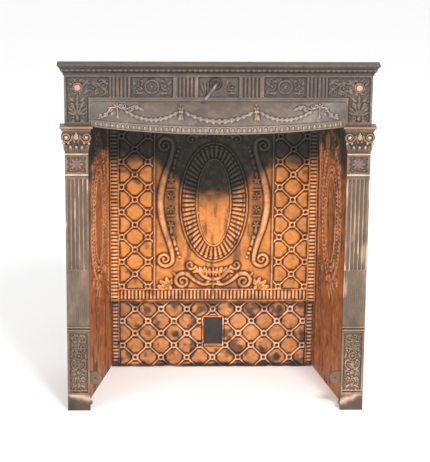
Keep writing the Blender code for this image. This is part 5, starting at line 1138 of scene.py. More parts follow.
def wreath_panel(relief, centre):
    """Raise the laurel wreath with its ribbon, its crossed sprays and its side scrolls."""
    x, u = centre
    side = 1 if x > 0 else -1
    for low, high in ((0.114, 0.144), (0.185, 0.215)):
        foliage(relief, side, (low, PANEL_LOW + 0.001), (high, PANEL_HIGH - 0.001), 107, 0.007)
    ring = arc(centre, 0.0165, 90.0, 450.0, 22)
    for k in range(22):
        root, tip = (ring[k + 1], ring[k]) if k < 11 else (ring[k], ring[k + 1])
        tip = (root[0] + (tip[0] - root[0]) * 1.5, root[1] + (tip[1] - root[1]) * 1.5)
        relief.leaf(root, tip, 0.0062, SUNK, belly=0.5)
    relief.stroke(ring, 0.0026, SUNK * 0.7)
    for hand in (1, -1):
        half = Half(relief, hand, x, u)
        relief.scroll(curl(half.at(0.0062, 0.0178), 0.001, 0.004, 0.0, hand * 300.0, 12), 0.0026, SUNK)
        leafy_scroll(relief, half.at(0.031, 0.002), 0.0088, -90.0, hand, weight=0.9)
        half.leaves([((-0.006, -0.01), (0.008, 0.01), 0.0046)], SUNK, lobes=4)
        half.leaves([((0.02, -0.015), (0.046, -0.016), 0.0075)], SUNK, lobes=3)
        half.leaves([((0.04, 0.004), (0.048, 0.016), 0.007), ((0.02, 0.012), (0.03, 0.018), 0.007)],
                    SUNK, lobes=2)
    relief.knob((x, u), 0.0034, SUNK * 1.1)


def frieze_side(relief, side):
    """Sink the panels of one side of the frieze and raise their ornament and lines."""
    for start, end in ((0.112, 0.2175), (0.269, 0.3765)):
        low, high = sorted((side * start, side * end))
        sink(relief, (low, PANEL_LOW), (high, PANEL_HIGH))
    low, high = sorted((side * 0.321, side * 0.3765))
    part, a, u = relief.window(low, 0.7712, high, PANEL_LOW + 0.004)
    edge = np.minimum.reduce([a - low, high - a, u - 0.7712])
    relief.height[part] = np.minimum(relief.height[part], SUNK * (1.0 - ramp(edge, 0.0, 0.0018)))
    for start in (0.0567, 0.2205):
        low, high = sorted((side * start, side * (start + 0.048)))
        flutes(relief, low, high, 5, PANEL_LOW, PANEL_HIGH, depth=0.0017, share=0.46, rounded=False)
    wreath_panel(relief, (side * 0.1647, (PANEL_LOW + PANEL_HIGH) / 2))
    frieze_corner(relief, side)
    for line in (0.054, 0.108, 0.218, 0.268):
        relief.stroke(mirror([(line, PANEL_LOW - 0.001), (line, PANEL_HIGH + 0.001)], side), 0.0022,
                      SUNK + 0.0005)
    line = DROP_INNER + 0.0024
    relief.stroke(mirror([(line, DROP_FOOT), (line, FRIEZE_FOOT + 0.004)], side), 0.0032, SUNK + 0.0011)


def frieze_relief():
    """Map the whole face of the frieze with its two drops."""
    along = spaced((-FRAME_HALF, -DROP_INNER, 0.0016), (-DROP_INNER, DROP_INNER, 0.0017),
                   (DROP_INNER, FRAME_HALF, 0.0016))
    up = spaced((DROP_FOOT, FRIEZE_FOOT, 0.0017), (FRIEZE_FOOT, CORNICE_FOOT + 0.001, 0.0016))
    relief = Relief(along, up)
    relief.height[:] = SUNK
    sink(relief, (-0.0512, PANEL_LOW), (0.0512, PANEL_HIGH))
    for side in (1, -1):
        frieze_side(relief, side)
    reach, level = DROP_INNER + 0.002, FRIEZE_FOOT + 0.004
    relief.stroke([(-reach, level), (reach, level)], 0.0034, SUNK + 0.0011)
    level = PANEL_HIGH + 0.003
    relief.stroke([(-0.379, level), (0.379, level)], 0.0026, SUNK + 0.0008)
    middle = (PANEL_LOW + PANEL_HIGH) / 2
    for k, lean in enumerate((-0.008, -0.0035, 0.001, 0.006)):
        root = (-0.033 + 0.003 * k, PANEL_LOW + 0.003)
        tip = (root[0] + lean * 1.6, PANEL_HIGH - 0.005 - 0.002 * abs(k - 1.5))
        relief.leaf(root, tip, 0.0072, SUNK, belly=0.5)
    leafy_scroll(relief, (0.033, middle + 0.001), 0.011, -90.0, 1)
    relief.leaf((0.018, middle - 0.014), (0.046, middle - 0.017), 0.008, SUNK, lobes=3)
    relief.leaf((0.018, middle + 0.006), (0.024, middle + 0.018), 0.008, SUNK, lobes=2)
    relief.ring((HANDLE_X, HANDLE_UP), 0.0115, 0.005, SUNK + 0.0028)
    part, a, u = relief.window(HANDLE_X - 0.009, HANDLE_UP - 0.009, HANDLE_X + 0.009, HANDLE_UP + 0.009)
    away = np.hypot(a - HANDLE_X, u - HANDLE_UP)
    relief.height[part] = np.where(away < 0.0086, -0.0035, relief.height[part])
    return relief


CORNICE = [
    (0.0, 0.89), (0.0022, 0.8905), (0.0027, 0.892), (0.0024, 0.8945), (0.0033, 0.8966), (0.005, 0.8985),
    (0.0069, 0.9008), (0.008, 0.9035), (0.0086, 0.9062), (0.0096, 0.9088), (0.0119, 0.9116),
    (0.014, 0.914), (0.0152, 0.9164), (0.0156, 0.917), (0.0165, 0.9174), (0.0165, 0.9192), (0.0155, 0.92),
]


EGG_PITCH = 0.0131


def eggs(s, v):
    """Height of the row of eggs and darts at a run along the cornice and a level."""
    egg = np.hypot(((s / EGG_PITCH) % 1.0 - 0.5) / 0.36, (v - 0.904) / 0.0036)
    dart = np.hypot((((s / EGG_PITCH) + 0.5) % 1.0 - 0.5) / 0.1, (v - 0.9043) / 0.0032)
    return 0.0016 * dome(np.minimum(egg, 1.0)) + 0.001 * dome(np.minimum(dart, 1.0))


def cornice_marks(height, v):
    """Raised places of the cornice, rubbed and with painted highlight on the eggs and the top edge, and
    painted shade between the eggs and in the cove.
    """
    # Painted shade between the eggs and painted shadow in the cove round the egg row
    row = ramp(height, 0.0006, 0.0) * (1.0 - ramp(np.abs(v - 0.904), 0.0045, 0.0065))
    hollow = 0.55 * ramp(v, 0.891, 0.893) * ramp(v, 0.912, 0.907) * ramp(height, 0.0012, 0.0)
    # The top edge is lightened as painted highlight
    return {"ridge": np.clip(height / 0.0012, 0.0, 1.0) + ramp(v, 0.9172, 0.918) * 0.5,
            "cavity": np.maximum(row, hollow)}


def cornice_parts():
    """Sweep the cornice round the front and both ends, with its row of small eggs."""
    reach, level = np.array(CORNICE).T
    travel = np.concatenate([[0.0], np.cumsum(np.hypot(np.diff(reach), np.diff(level)))])
    fine = np.linspace(0.0, travel[-1], 46)
    reach = np.interp(fine, travel, reach)[:, None]
    level = np.interp(fine, travel, level)[:, None]
    x = (FRAME_HALF + reach) * (2.0 * np.linspace(0.0, 1.0, 520)[None, :] - 1.0)
    v = level + 0 * x
    height = eggs(x, v)
    parts = [grid_part(x, FACE - reach - height * 0.8, level - height * 0.5, cornice_marks(height, v))]
    run = np.linspace(0.0, 1.0, 34)[None, :]
    for side in (1, -1):
        s = -reach + (SIDE_BACK + reach) * run
        v = level + 0 * s
        height = eggs(s, v) * ramp(run, 0.0, 0.05)
        x = side * (FRAME_HALF + reach + height * 0.8)
        parts.append(grid_part(x, FACE + s, level - height * 0.5, cornice_marks(height, v),
                               flip=side < 0))
    edge = float(reach[-1, 0])
    top = FRAME_HALF + edge
    x, y = np.meshgrid(np.linspace(-top, top, 60), FACE + np.linspace(-edge, SIDE_BACK, 5))
    parts.append(grid_part(x, y, np.full_like(x, CORNICE_TOP)))
    inner = [(PLATE_BACK - max(r - 0.005, 0.0), v - 0.001) for r, v in CORNICE[5:-1]]
    depth, rise = np.array(inner + [(-0.007, 0.915), (SIDE_BACK, 0.915)]).T
    x, y = np.meshgrid(np.linspace(-FRAME_HALF + 0.004, FRAME_HALF - 0.004, 12), FACE + depth)
    parts.append(grid_part(x, y, rise[:, None] + 0 * x, flip=True))
    for side in (1, -1):
        low, high = sorted((side * (FRAME_HALF - 0.006), side * (FRAME_HALF + 0.0105)))
        parts.append(box_part((low, 0.0, 0.903), (high, 0.0199, 0.9199)))
    parts.append(box_part((-top + 0.0006, 0.0196, 0.915), (top - 0.0006, SIDE_BACK, 0.9199)))
    return parts


def make_lintel(material):
    """Dress the lintel: frieze, drops and cornice, open behind."""
    relief = frieze_relief()
    a, u = relief.grid
    relief.height += 0.00012 * noise(a, u, 0.008, 71)
    opening = np.outer(within(relief.up, 0.0, FRIEZE_FOOT), within(relief.along, -DROP_INNER, DROP_INNER))
    parts = [grid_part(*facing(SUNK)(a, u, relief.height), face_marks(relief, 0.0011, 0.0007),
                       mask=~opening)]
    boxes = [((-FRAME_HALF, 0.004, FRIEZE_FOOT), (FRAME_HALF, PLATE_BACK, 0.9)),
             ((-FRAME_HALF, 0.001, 0.8895), (FRAME_HALF, PLATE_BACK, 0.9)),
             ((-DROP_INNER, 0.0, FRIEZE_FOOT), (DROP_INNER, PLATE_BACK, FRIEZE_FOOT + 0.002))]
    for side in (1, -1):
        for start, end, front, back, top in (
                (DROP_INNER, FRAME_HALF, 0.004, PLATE_BACK, FRIEZE_FOOT + 0.01),
                (DROP_INNER, FRAME_HALF, 0.0, PLATE_BACK, DROP_FOOT + 0.002),
                (FRAME_HALF - WALL, FRAME_HALF, 0.0001, SIDE_BACK, 0.915),
                (DROP_INNER, DROP_INNER + 0.0025, 0.0001, PLATE_BACK, FRIEZE_FOOT + 0.001)):
            low, high = sorted((side * start, side * end))
            boxes.append(((low, front, DROP_FOOT), (high, back, top)))
    parts += [box_part(low, high) for low, high in boxes]
    bearing = [(0.006, 0.007), (0.011, 0.007), (0.011, 0.015), (0.0048, 0.015)]
    parts.append(lathe_part(bearing, (HANDLE_X, FACE, HANDLE_UP)))
    item = combine_parts("lintel_casting", parts + cornice_parts())
    settle(item, "lintel", "frame", material)


# the pilasters
SHAFT_FOOT = 0.383
SHAFT_HEAD = 0.624
NECK_FOOT = 0.6412
NECK_HEAD = 0.682
NECK_MIDDLE = 0.6617


def base_ornament(relief):
    """Raise the scrolls, leaves and flowers of the panel at the base of the leg."""
    mid = LEG_MIDDLE
    for hand in (1, -1):
        half = Half(relief, hand, mid)
        for heart, radii, start, turn, width, eye in (
                ((0.0135, 0.2005), (0.0016, 0.0066), 90.0, -340.0, 0.0038, 0.0024),
                ((0.014, 0.166), (0.002, 0.008), -90.0, 330.0, 0.0042, 0.0028),
                ((0.0135, 0.084), (0.0018, 0.0072), 90.0, -340.0, 0.004, 0.0025)):
            half.scroll(heart, radii, start, turn, 18, width, SUNK, eye)
        relief.stroke(half.sweep((0.01, 0.138), (0.023, 0.136), (0.02, 0.116), (0.007, 0.112)), 0.004,
                      SUNK)
        half.leaves((((0.002, 0.202), (0.009, 0.211), 0.006), ((0.015, 0.156), (0.021, 0.142), 0.0065),
                     ((0.008, 0.112), (0.021, 0.105), 0.007), ((0.004, 0.07), (0.019, 0.062), 0.0065),
                     ((0.005, 0.102), (0.017, 0.096), 0.006)), SUNK, lobes=2)
    relief.spray((mid, 0.164), 0.023, 5, 90.0, 120.0, 0.007, SUNK, lobes=2)
    relief.ring((mid, 0.149), 0.0088, 0.0036, SUNK * 1.1)
    relief.knob((mid, 0.149), 0.0042, SUNK * 1.3)
    relief.leaf((mid, 0.138), (mid, 0.112), 0.011, SUNK, lobes=3)
    relief.spray((mid, 0.098), 0.015, 3, 90.0, 70.0, 0.006, SUNK)
    relief.flower((mid, 0.086), 0.0095, 5, SUNK, width=0.6)
    relief.leaf((mid, 0.076), (mid, 0.06), 0.008, SUNK, lobes=2)


def neck_ornament(relief):
    """Raise the large flower and the corner leaves of the neck of the leg."""
    heart = (LEG_MIDDLE, NECK_MIDDLE)
    relief.flower(heart, 0.0185, 8, SUNK, width=0.42, stretch=0.95)
    relief.flower(heart, 0.01, 8, SUNK * 1.15, turn=112.5, width=0.5)
    for hand in (1, -1):
        for fold in (1, -1):
            half = Half(relief, hand, LEG_MIDDLE, NECK_MIDDLE, fold)
            half.leaves([((0.022, 0.0), (0.0215, 0.015), 0.006)], SUNK, lobes=2)
            half.leaves([((0.01, 0.017), (0.02, 0.016), 0.005)], SUNK)


def pilaster_face():
    """Map the face of the right pilaster from its foot to its bell."""
    along = spaced((LEG_INNER, FRAME_HALF, 0.00125))
    up = spaced((0.0, 0.044, 0.003), (0.044, 0.24, 0.0014), (0.24, 0.39, 0.0022), (0.39, 0.62, 0.004),
                (0.62, 0.7, 0.0014), (0.7, 0.7485, 0.003))
    relief = Relief(along, up)
    relief.height[:] = SUNK
    left, right = LEG_INNER + 0.005, FRAME_HALF - 0.005
    near, far = LEG_INNER + 0.0035, FRAME_HALF - 0.0035
    sink(relief, (left, 0.048), (right, 0.2125))
    sink(relief, (left, NECK_FOOT), (right, NECK_HEAD))
    flutes(relief, near, far, 5, SHAFT_FOOT, 0.6239, depth=0.0016, share=0.7)
    part, a, _ = relief.window(near, 0.238, far, SHAFT_FOOT)
    phase = ((a - near) / (0.051 / 10)) % 1.0
    relief.height[part] -= 0.0006 * (1.0 - dome(np.abs(phase - 0.5) * 2))
    for low, high, out in ((0.218, 0.2228, 0.0026), (0.2262, 0.231, 0.0026), (0.6325, 0.637, 0.003),
                           (0.6865, 0.6905, 0.003)):
        middle = (low + high) / 2
        relief.stroke([(LEG_INNER - 0.01, middle), (FRAME_HALF + 0.01, middle)], (high - low) * 1.3,
                      SUNK + out)
    relief.beads([(LEG_INNER + 0.003, 0.629), (FRAME_HALF - 0.003, 0.629)], 0.0052, 0.0017,
                 SUNK + 0.001, 1.5)
    relief.stroke([(left + 0.001, 0.2165), (right - 0.001, 0.2165)], 0.0026, SUNK + 0.0008)
    for line in (left - 0.0012, right + 0.0012):
        relief.stroke([(line, 0.0545), (line, 0.216)], 0.0024, SUNK + 0.0008)
    relief.stroke([(left, 0.0545), (right, 0.0545)], 0.0024, SUNK + 0.0008)
    relief.stroke([(left + 0.001, 0.188), (right - 0.001, 0.188)], 0.0022, SUNK * 0.9)
    foliage(relief, 1, (left + 0.001, 0.049), (right - 0.001, 0.2115), 111, 0.0066)
    foliage(relief, 1, (left + 0.001, 0.6425), (right - 0.001, 0.681), 113, 0.006)
    base_ornament(relief)
    neck_ornament(relief)
    return relief


def curled_leaf(place, height, width, lean, curl_out):
    """A leaf that stands on the bell and rolls outward at its tip, as a thin blade of two sheets."""
    t = np.linspace(0.0, 1.0, 14)[:, None]
    s = np.linspace(-1.0, 1.0, 9)[None, :]
    outline = np.sqrt(np.clip(1.0 - (2.0 * t - 0.9) ** 2 / 1.25, 0.02, 1.0))
    outline = outline * (0.82 + 0.18 * np.abs(np.cos(math.pi * 3 * t)))
    outline = np.where(t > 0.92, outline * 0.75, outline)
    bend = np.clip((t - 0.55) / 0.45, 0.0, 1.0)
    x = place + lean * t + s * width / 2 * outline
    out = 0.0016 + 0.0035 * t + curl_out * bend ** 1.5
    y = FACE - out + 0.0022 * s * s * outline + 0.0012 * np.exp(-(s / 0.16) ** 2)
    z = LEAF_FOOT + height * (t - 0.3025 * bend ** 2.2) + 0 * x
    # The rolled tip is rubbed and given painted highlight; the foot and edges of the blade get painted
    # shade
    marks = {"ridge": np.clip(0.25 + bend + 0 * x, 0.0, 1.0),
             "cavity": np.clip(0.55 - 1.2 * t + 0.5 * s ** 4, 0, 1),
             "wear": 0.85 * np.clip((bend - 0.35) / 0.5, 0.0, 1.0) + 0 * x}
    return [grid_part(x, y, z, marks), grid_part(x, y + 0.0016, z, flip=True)]


def stack_part(sections, rear, marks):
    """A block over the leg whose sections are given as front reach, side reach and level."""
    half = (FRAME_HALF - LEG_INNER) / 2
    points = []
    for front, side, z in sections:
        x0, x1 = LEG_MIDDLE - half - side, LEG_MIDDLE + half + side
        points += [(x0, FACE - front, z), (x1, FACE - front, z), (x1, FACE + rear, z),
                   (x0, FACE + LEG_BACK, z)]
    faces = [(3, 2, 1, 0)]
    for k in range(0, len(points) - 4, 4):
        faces += [(k + s, k + (s + 1) % 4, k + 4 + (s + 1) % 4, k + 4 + s) for s in range(4)]
    last = len(points) - 4
    faces.append((last, last + 1, last + 2, last + 3))
    return points, faces, marks


def volute_parts(hand):
    """One volute: its disc, its coil with the arm that runs down to the middle, and its eye."""
    mid = LEG_MIDDLE
    x, z = mid + hand * ((FRAME_HALF - LEG_INNER) / 2 - 0.0045), 0.7335
    disc = [(0.004, -0.0034), (0.0118, -0.003), (0.013, -0.0042), (0.0134, -0.0062), (0.0134, 0.01)]
    # The disc behind the coil is darkened as painted shade
    parts = [lathe_part(disc, (x, FACE, z), sides=32, marks={"cavity": np.full(32 * 5, 0.75)})]
    coil = curl((x, z), 0.0034, 0.0138, 90.0, 90.0 - hand * 640.0, 52)
    path = [(a, FACE - 0.006 - 0.002 * (1 - k / 52), u) for k, (a, u) in enumerate(coil)]
    end_a, end_u = coil[-1]
    arm = curve((end_a, end_u), (end_a - hand * 0.005, end_u + 0.0015), (mid + hand * 0.0115, 0.744),
                (mid + hand * 0.004, 0.72), steps=12)
    path += [(a, FACE - 0.0056 - 0.0014 * k / 12, u) for k, (a, u) in enumerate(arm[1:])]
    radii = [0.0014 + 0.0008 * min(k / 40.0, 1.0) for k in range(len(path))]
    parts.append(tube_part(path, radii, 10, {"ridge": np.full(len(path) * 10, 0.8)}))
    eye = [(0.0001, -0.0108), (0.0014, -0.0106), (0.0029, -0.0094), (0.0037, -0.0074), (0.0038, -0.005)]
    parts.append(lathe_part(eye, (x, FACE, z), sides=20, marks={"wear": np.full(20 * 5, 0.95)}))
    return parts


def tip_part(x, z, radius):
    """The round curled tip of one leaf."""
    base = -0.0075
    shape = [(0.0002, base - radius), (radius * 0.5, base - radius * 0.86),
             (radius * 0.87, base - radius * 0.5), (radius, base), (radius * 0.9, -0.003),
             (radius * 0.5, -0.001)]
    # The front of the tip is rubbed; its back, where it meets the face, gets painted shade
    marks = {"wear": np.repeat([0.42, 0.36, 0.15, 0.0, 0.0, 0.0], 20),
             "cavity": np.repeat([0.0, 0.0, 0.0, 0.4, 0.9, 1.0], 20)}
    return lathe_part(shape, (x, FACE, z), sides=20, marks=marks)


def palmette_parts():
    """The small fan between the volutes."""
    parts = []
    shares = [k / 6 for k in range(7)]
    for turn, long in ((-30.0, 0.01), (-14.0, 0.015), (0.0, 0.02), (14.0, 0.015), (30.0, 0.01)):
        across, rise = math.cos(math.radians(90.0 + turn)), math.sin(math.radians(90.0 + turn))
        points = [(LEG_MIDDLE + long * share * across,
                   FACE - 0.0074 - 0.004 * math.sin(math.pi * share * 0.6),
                   0.7275 + long * share * rise) for share in shares]
        radii = [0.001 + 0.0014 * math.sin(math.pi * min(0.15 + 0.8 * share, 1.0)) for share in shares]
        marks = {"ridge": np.full(7 * 8, 0.8), "wear": np.full(7 * 8, 0.3)}
        parts.append(tube_part(points, radii, 8, marks))
    return parts


BELL = ((0.0002, 0.0, 0.69), (0.0004, 0.0004, 0.699), (0.0014, 0.0006, 0.7085), (0.0028, 0.0016, 0.7185),
        (0.0042, 0.003, 0.7305), (0.0052, 0.0042, 0.7425), (0.006, 0.0046, 0.7485))
ABACUS = ((0.006, 0.7482), (0.0068, 0.749), (0.0074, 0.7512), (0.0082, 0.7535), (0.0092, 0.7553),
          (0.0112, 0.7566), (0.012, 0.7578), (0.012, 0.7615), (0.0114, 0.762))
LEAF_FOOT = 0.6915
# Curled leaves: place beside the middle, height, width, lean and how far the tip rolls out
CAPITAL_LEAVES = ((0.024, 0.03, 0.012, 0.005, 0.006), (0.015, 0.02, 0.013, -0.001, 0.008),
                  (0.0075, 0.03, 0.009, 0.009, 0.006))
# Round leaf tips: place beside the middle, level and radius
CAPITAL_TIPS = ((0.0142, 0.7085, 0.0042), (0.0195, 0.719, 0.0036), (0.031, 0.7185, 0.0042))


def capital_parts():
    """The bell, the volutes, the leaves and the abacus of the right capital."""
    # The bell gets painted shade, deepest behind the leaves and volutes; the abacus's upper edge is
    # rubbed and given painted highlight
    hollow = np.repeat([0.1, 0.2, 0.5, 0.9, 0.9, 0.8, 0.6], 4)
    rubbed = np.repeat([0.0, 0.2, 0.2, 0.1, 0.1, 0.7, 1.0, 1.0, 0.6], 4)
    parts = [stack_part(BELL, LEG_BACK, {"cavity": hollow}),
             stack_part([(reach, reach, z) for reach, z in ABACUS], 0.0199, {"ridge": rubbed})]
    parts += volute_parts(1) + volute_parts(-1)
    for x, height, width, lean, out in CAPITAL_LEAVES:
        for hand in (1, -1):
            parts += curled_leaf(LEG_MIDDLE + hand * x, height, width, hand * lean, out)
    parts += curled_leaf(LEG_MIDDLE, 0.02, 0.012, 0.0, 0.0085)
    parts.append(tip_part(LEG_MIDDLE, 0.709, 0.0042))
    for x, z, radius in CAPITAL_TIPS:
        for hand in (1, -1):
            parts.append(tip_part(LEG_MIDDLE + hand * x, z, radius))
    return parts + palmette_parts()


def leg_stains(relief, side):
    """Set the rubbed, golden and soiled places of one leg, painted shade in its flutes and a darker
    ground in its neck.
    """
    a, u = relief.grid
    grain = noise(a * side, u, 0.02, 85 + side)
    shaft = (u > SHAFT_FOOT) & (u < SHAFT_HEAD)
    bright = np.exp(-((u - 0.6886) / 0.0018) ** 2) + 0.8 * np.exp(-((u - 0.6347) / 0.002) ** 2)
    golden = 0.42 * ramp(noise(a * side, u * 0.35, 0.03, 87 + side), 0.1, 0.6)
    golden = golden * (ramp(u, 0.23, 0.26) * ramp(u, 0.63, 0.6)) * (1.0 if side > 0 else 0.35)
    slope = 0.024 + 0.4 * (a - LEG_INNER) if side > 0 else 0.05 - 0.35 * (FRAME_HALF - a)
    band = np.exp(-((u - slope + 0.006 * grain) / 0.0075) ** 2) * ramp(0.046 - u, 0.0, 0.004)
    rubbed = 0.55 * ramp(noise(a * side, u * 0.08, 0.0045, 95 + side), 0.25, 0.75) * shaft
    relief.wear = np.clip(1.1 * bright * (0.8 + 0.4 * grain) + golden + 0.6 * band, 0.0, 1.0)
    relief.wear = np.clip(relief.wear + rubbed * ramp(relief.height, 0.0018, 0.0024), 0.0, 1.0)
    # Painted shade in the flutes of the shaft, uneven along them
    groove = 0.55 * ramp(SUNK - relief.height, 0.0004, 0.0016) * shaft
    groove = groove * (0.55 + 0.6 * ramp(noise(a * side, u * 0.15, 0.012, 93 + side), -0.2, 0.5))
    # Darkens the sunk ground of the neck panel
    neck_ground_dark = 0.3 * ((u > NECK_FOOT) & (u < NECK_HEAD)) * ramp(relief.height, 0.0026, 0.0008)
    clouds = 0.35 * ramp(noise(a * side, u * 0.5, 0.04, 91 + side), 0.2, 0.7)
    soiled = (0.62 * ramp(0.043 - u, 0.0, 0.006) * (1.0 - band) + clouds) * (1.0 - 0.8 * bright)
    relief.dark = np.maximum.reduce([relief.dark, groove, neck_ground_dark, soiled])


def make_pilaster(side, material):
    """Dress one pilaster with its capital, its open back and its fixing ear."""
    relief = pilaster_face()
    a, u = relief.grid
    relief.height += 0.00014 * noise(a * side, u, 0.01, 81 + side)
    leg_stains(relief, side)
    parts = plate_parts(relief, facing(SUNK), 0.0035)
    top = LEG_TOP - 0.014
    parts.append(box_part((LEG_INNER, 0.0001, 0.0), (LEG_INNER + WALL, LEG_BACK, top)))
    parts.append(box_part((FRAME_HALF - WALL, 0.0001, 0.0), (FRAME_HALF, SIDE_BACK, top)))
    parts += capital_parts() + ear_parts()
    if side < 0:
        parts = [(np.asarray(coords, float) * (-1.0, 1.0, 1.0), turned(faces, side), marks)
                 for coords, faces, marks in parts]
    name = named("pilaster", side)
    settle(combine_parts(name + "_casting", parts), name, "frame", material)


EAR_MIDDLE = 0.088
EAR_HALF = 0.0175
HOLE_RADIUS = 0.0028
HOLE_X = 0.30874


def ray_reach(centre, ray, outline):
    """How far a closed outline lies from a centre along a ray."""
    best = math.inf
    for p, q in zip(outline, outline[1:] + outline[:1]):
        d = np.subtract(p, centre)
        e = np.subtract(q, p)
        det = ray[1] * e[0] - ray[0] * e[1]
        if abs(det) < TINY:
            continue
        t = (d[1] * e[0] - d[0] * e[1]) / det
        s = (ray[0] * d[1] - ray[1] * d[0]) / det
        if t > 0 and -1e-6 <= s <= 1 + 1e-6:
            best = min(best, t)
    return best


def ear_parts():
    """The flat lug inside the leg, with a hole through it."""
    outline = [(LEG_INNER + 0.002, EAR_MIDDLE - EAR_HALF), (LEG_INNER + 0.002, EAR_MIDDLE + EAR_HALF)]
    outline += arc((LEG_INNER - 0.01, EAR_MIDDLE), EAR_HALF, 90.0, 270.0, 20)
    centre = np.array((HOLE_X, EAR_MIDDLE))
    angles = np.linspace(0.0, 2 * math.pi, 41)
    angles[-1] = 0.0
    rays = [np.array((math.cos(angle), math.sin(angle))) for angle in angles]
    rim = [centre + ray * ray_reach(centre, ray, outline) for ray in rays]
    inner = [centre + ray * HOLE_RADIUS for ray in rays]
    front, back = FACE + 0.0067, FACE + LEG_BACK
    rings = ((inner, back), (inner, front), (rim, front), (rim, back), (inner, back))
    grid = np.array([[(p[0], depth, p[1]) for p in ring] for ring, depth in rings])
    return [grid_part(grid[..., 0], grid[..., 1], grid[..., 2], flip=True)]


# the fittings
def make_boss(side, material):
    """Dress one turned rosette boss with rings, a button and a short stud."""
    profile = [(0.0028, 0.011), (0.003, 0.003), (0.003, 0.0022), (0.0118, 0.0022), (0.0121, 0.001),
               (0.012, -0.001), (0.0114, -0.0024), (0.0106, -0.0028), (0.01, -0.002), (0.0096, -0.0006),
               (0.0092, -0.0006), (0.0089, -0.0026), (0.0083, -0.0042), (0.0074, -0.0054),
               (0.0062, -0.0062), (0.005, -0.0067), (0.0036, -0.0071), (0.0022, -0.0073),
               (0.001, -0.0074), (0.0001, -0.0074)]
    # The rim and the dome are rubbed and given painted highlight; the groove between them gets painted
    # shade
    ridge = [0, 0, 0, 0, 0.2, 0.3, 0.6, 0.7, 0.3, 0.0, 0.0, 0.2, 0.5, 0.7, 0.8, 0.7, 0.6, 0.6, 0.6, 0.6]
    cavity = [0, 0, 0, 0, 0, 0.2, 0, 0, 0.6, 1.0, 1.0, 0.7, 0.2, 0, 0, 0, 0, 0, 0, 0]
    marks = {"ridge": np.repeat(ridge, 56), "cavity": np.repeat(cavity, 56)}
    place = (side * BOSS_PLACE[0], FACE, BOSS_PLACE[1])
    name = named("boss", side)
    item = combine_parts(name + "_turned", [lathe_part(profile, place, sides=56, marks=marks)])
    settle(item, name, "frame", material)


def make_bolt(side, material):
    """Dress one foot bolt: a domed head and its shank through the leg."""
    profile = [(0.0001, 0.3172), (0.0022, 0.3173), (0.004, 0.3181), (0.0051, 0.3194), (0.0055, 0.321),
               (0.0055, 0.3227), (0.0028, 0.3228), (0.0028, 0.33), (0.0001, 0.3301)]
    shape = [(radius, side * level) for radius, level in profile][::-side]
    marks = {"ridge": np.full(32 * len(profile), 0.4)}
    name = named("foot_bolt", side)
    part = lathe_part(shape, (0.0, FACE + 0.0062, 0.02), axis="x", sides=32, marks=marks)
    settle(combine_parts(name + "_visual", [part]), name, "frame", material)


def make_handle(material):
    """Dress the damper handle: a smooth rod that bends over, its collar and its tail."""
    angle = math.radians(36.0)
    bend = 0.008
    out = -0.019
    line = [(0.0, 0.023), (0.0, out + bend)]
    for turn in np.radians(np.linspace(0.0, 90.0, 9)[1:]):
        line.append((bend * (1.0 - math.cos(turn)), out + bend - bend * math.sin(turn)))
    line += [(bend + (0.043 - bend) * share, out) for share in np.linspace(0.0, 1.0, 8)[1:]]
    line.append((0.044, out))
    path = [(HANDLE_X - math.sin(angle) * reach, FACE + depth, HANDLE_UP - math.cos(angle) * reach)
            for reach, depth in line]
    radii = [0.004] * (len(path) - 2) + [0.0036, 0.0024]
    collar = [(0.0039, 0.0153), (0.008, 0.0153), (0.008, 0.0193), (0.0039, 0.0193)]
    parts = [tube_part(path, radii, 24, {"ridge": np.full(len(path) * 24, 0.7)}),
             lathe_part(collar, (HANDLE_X, FACE, HANDLE_UP), sides=36)]
    item = combine_parts("damper_handle_visual", parts)
    settle(item, "damper_handle", "handle", material)


def make_pipe_cover(material):
    """Dress the plain sheet that closes the pipe opening from behind."""
    front = LOWER_PLANE + 0.0073
    points, faces, _ = box_part((-0.0386, front, 0.0512), (0.0407, front + 0.002, 0.1582))
    # The sheet is darkened with the hollow colour as painted shade inside the opening
    item = combine_parts("pipe_cover_sheet", [(points, faces, {"cavity": np.full(8, 0.65)})])
    settle(item, "pipe_cover", "frame", material)


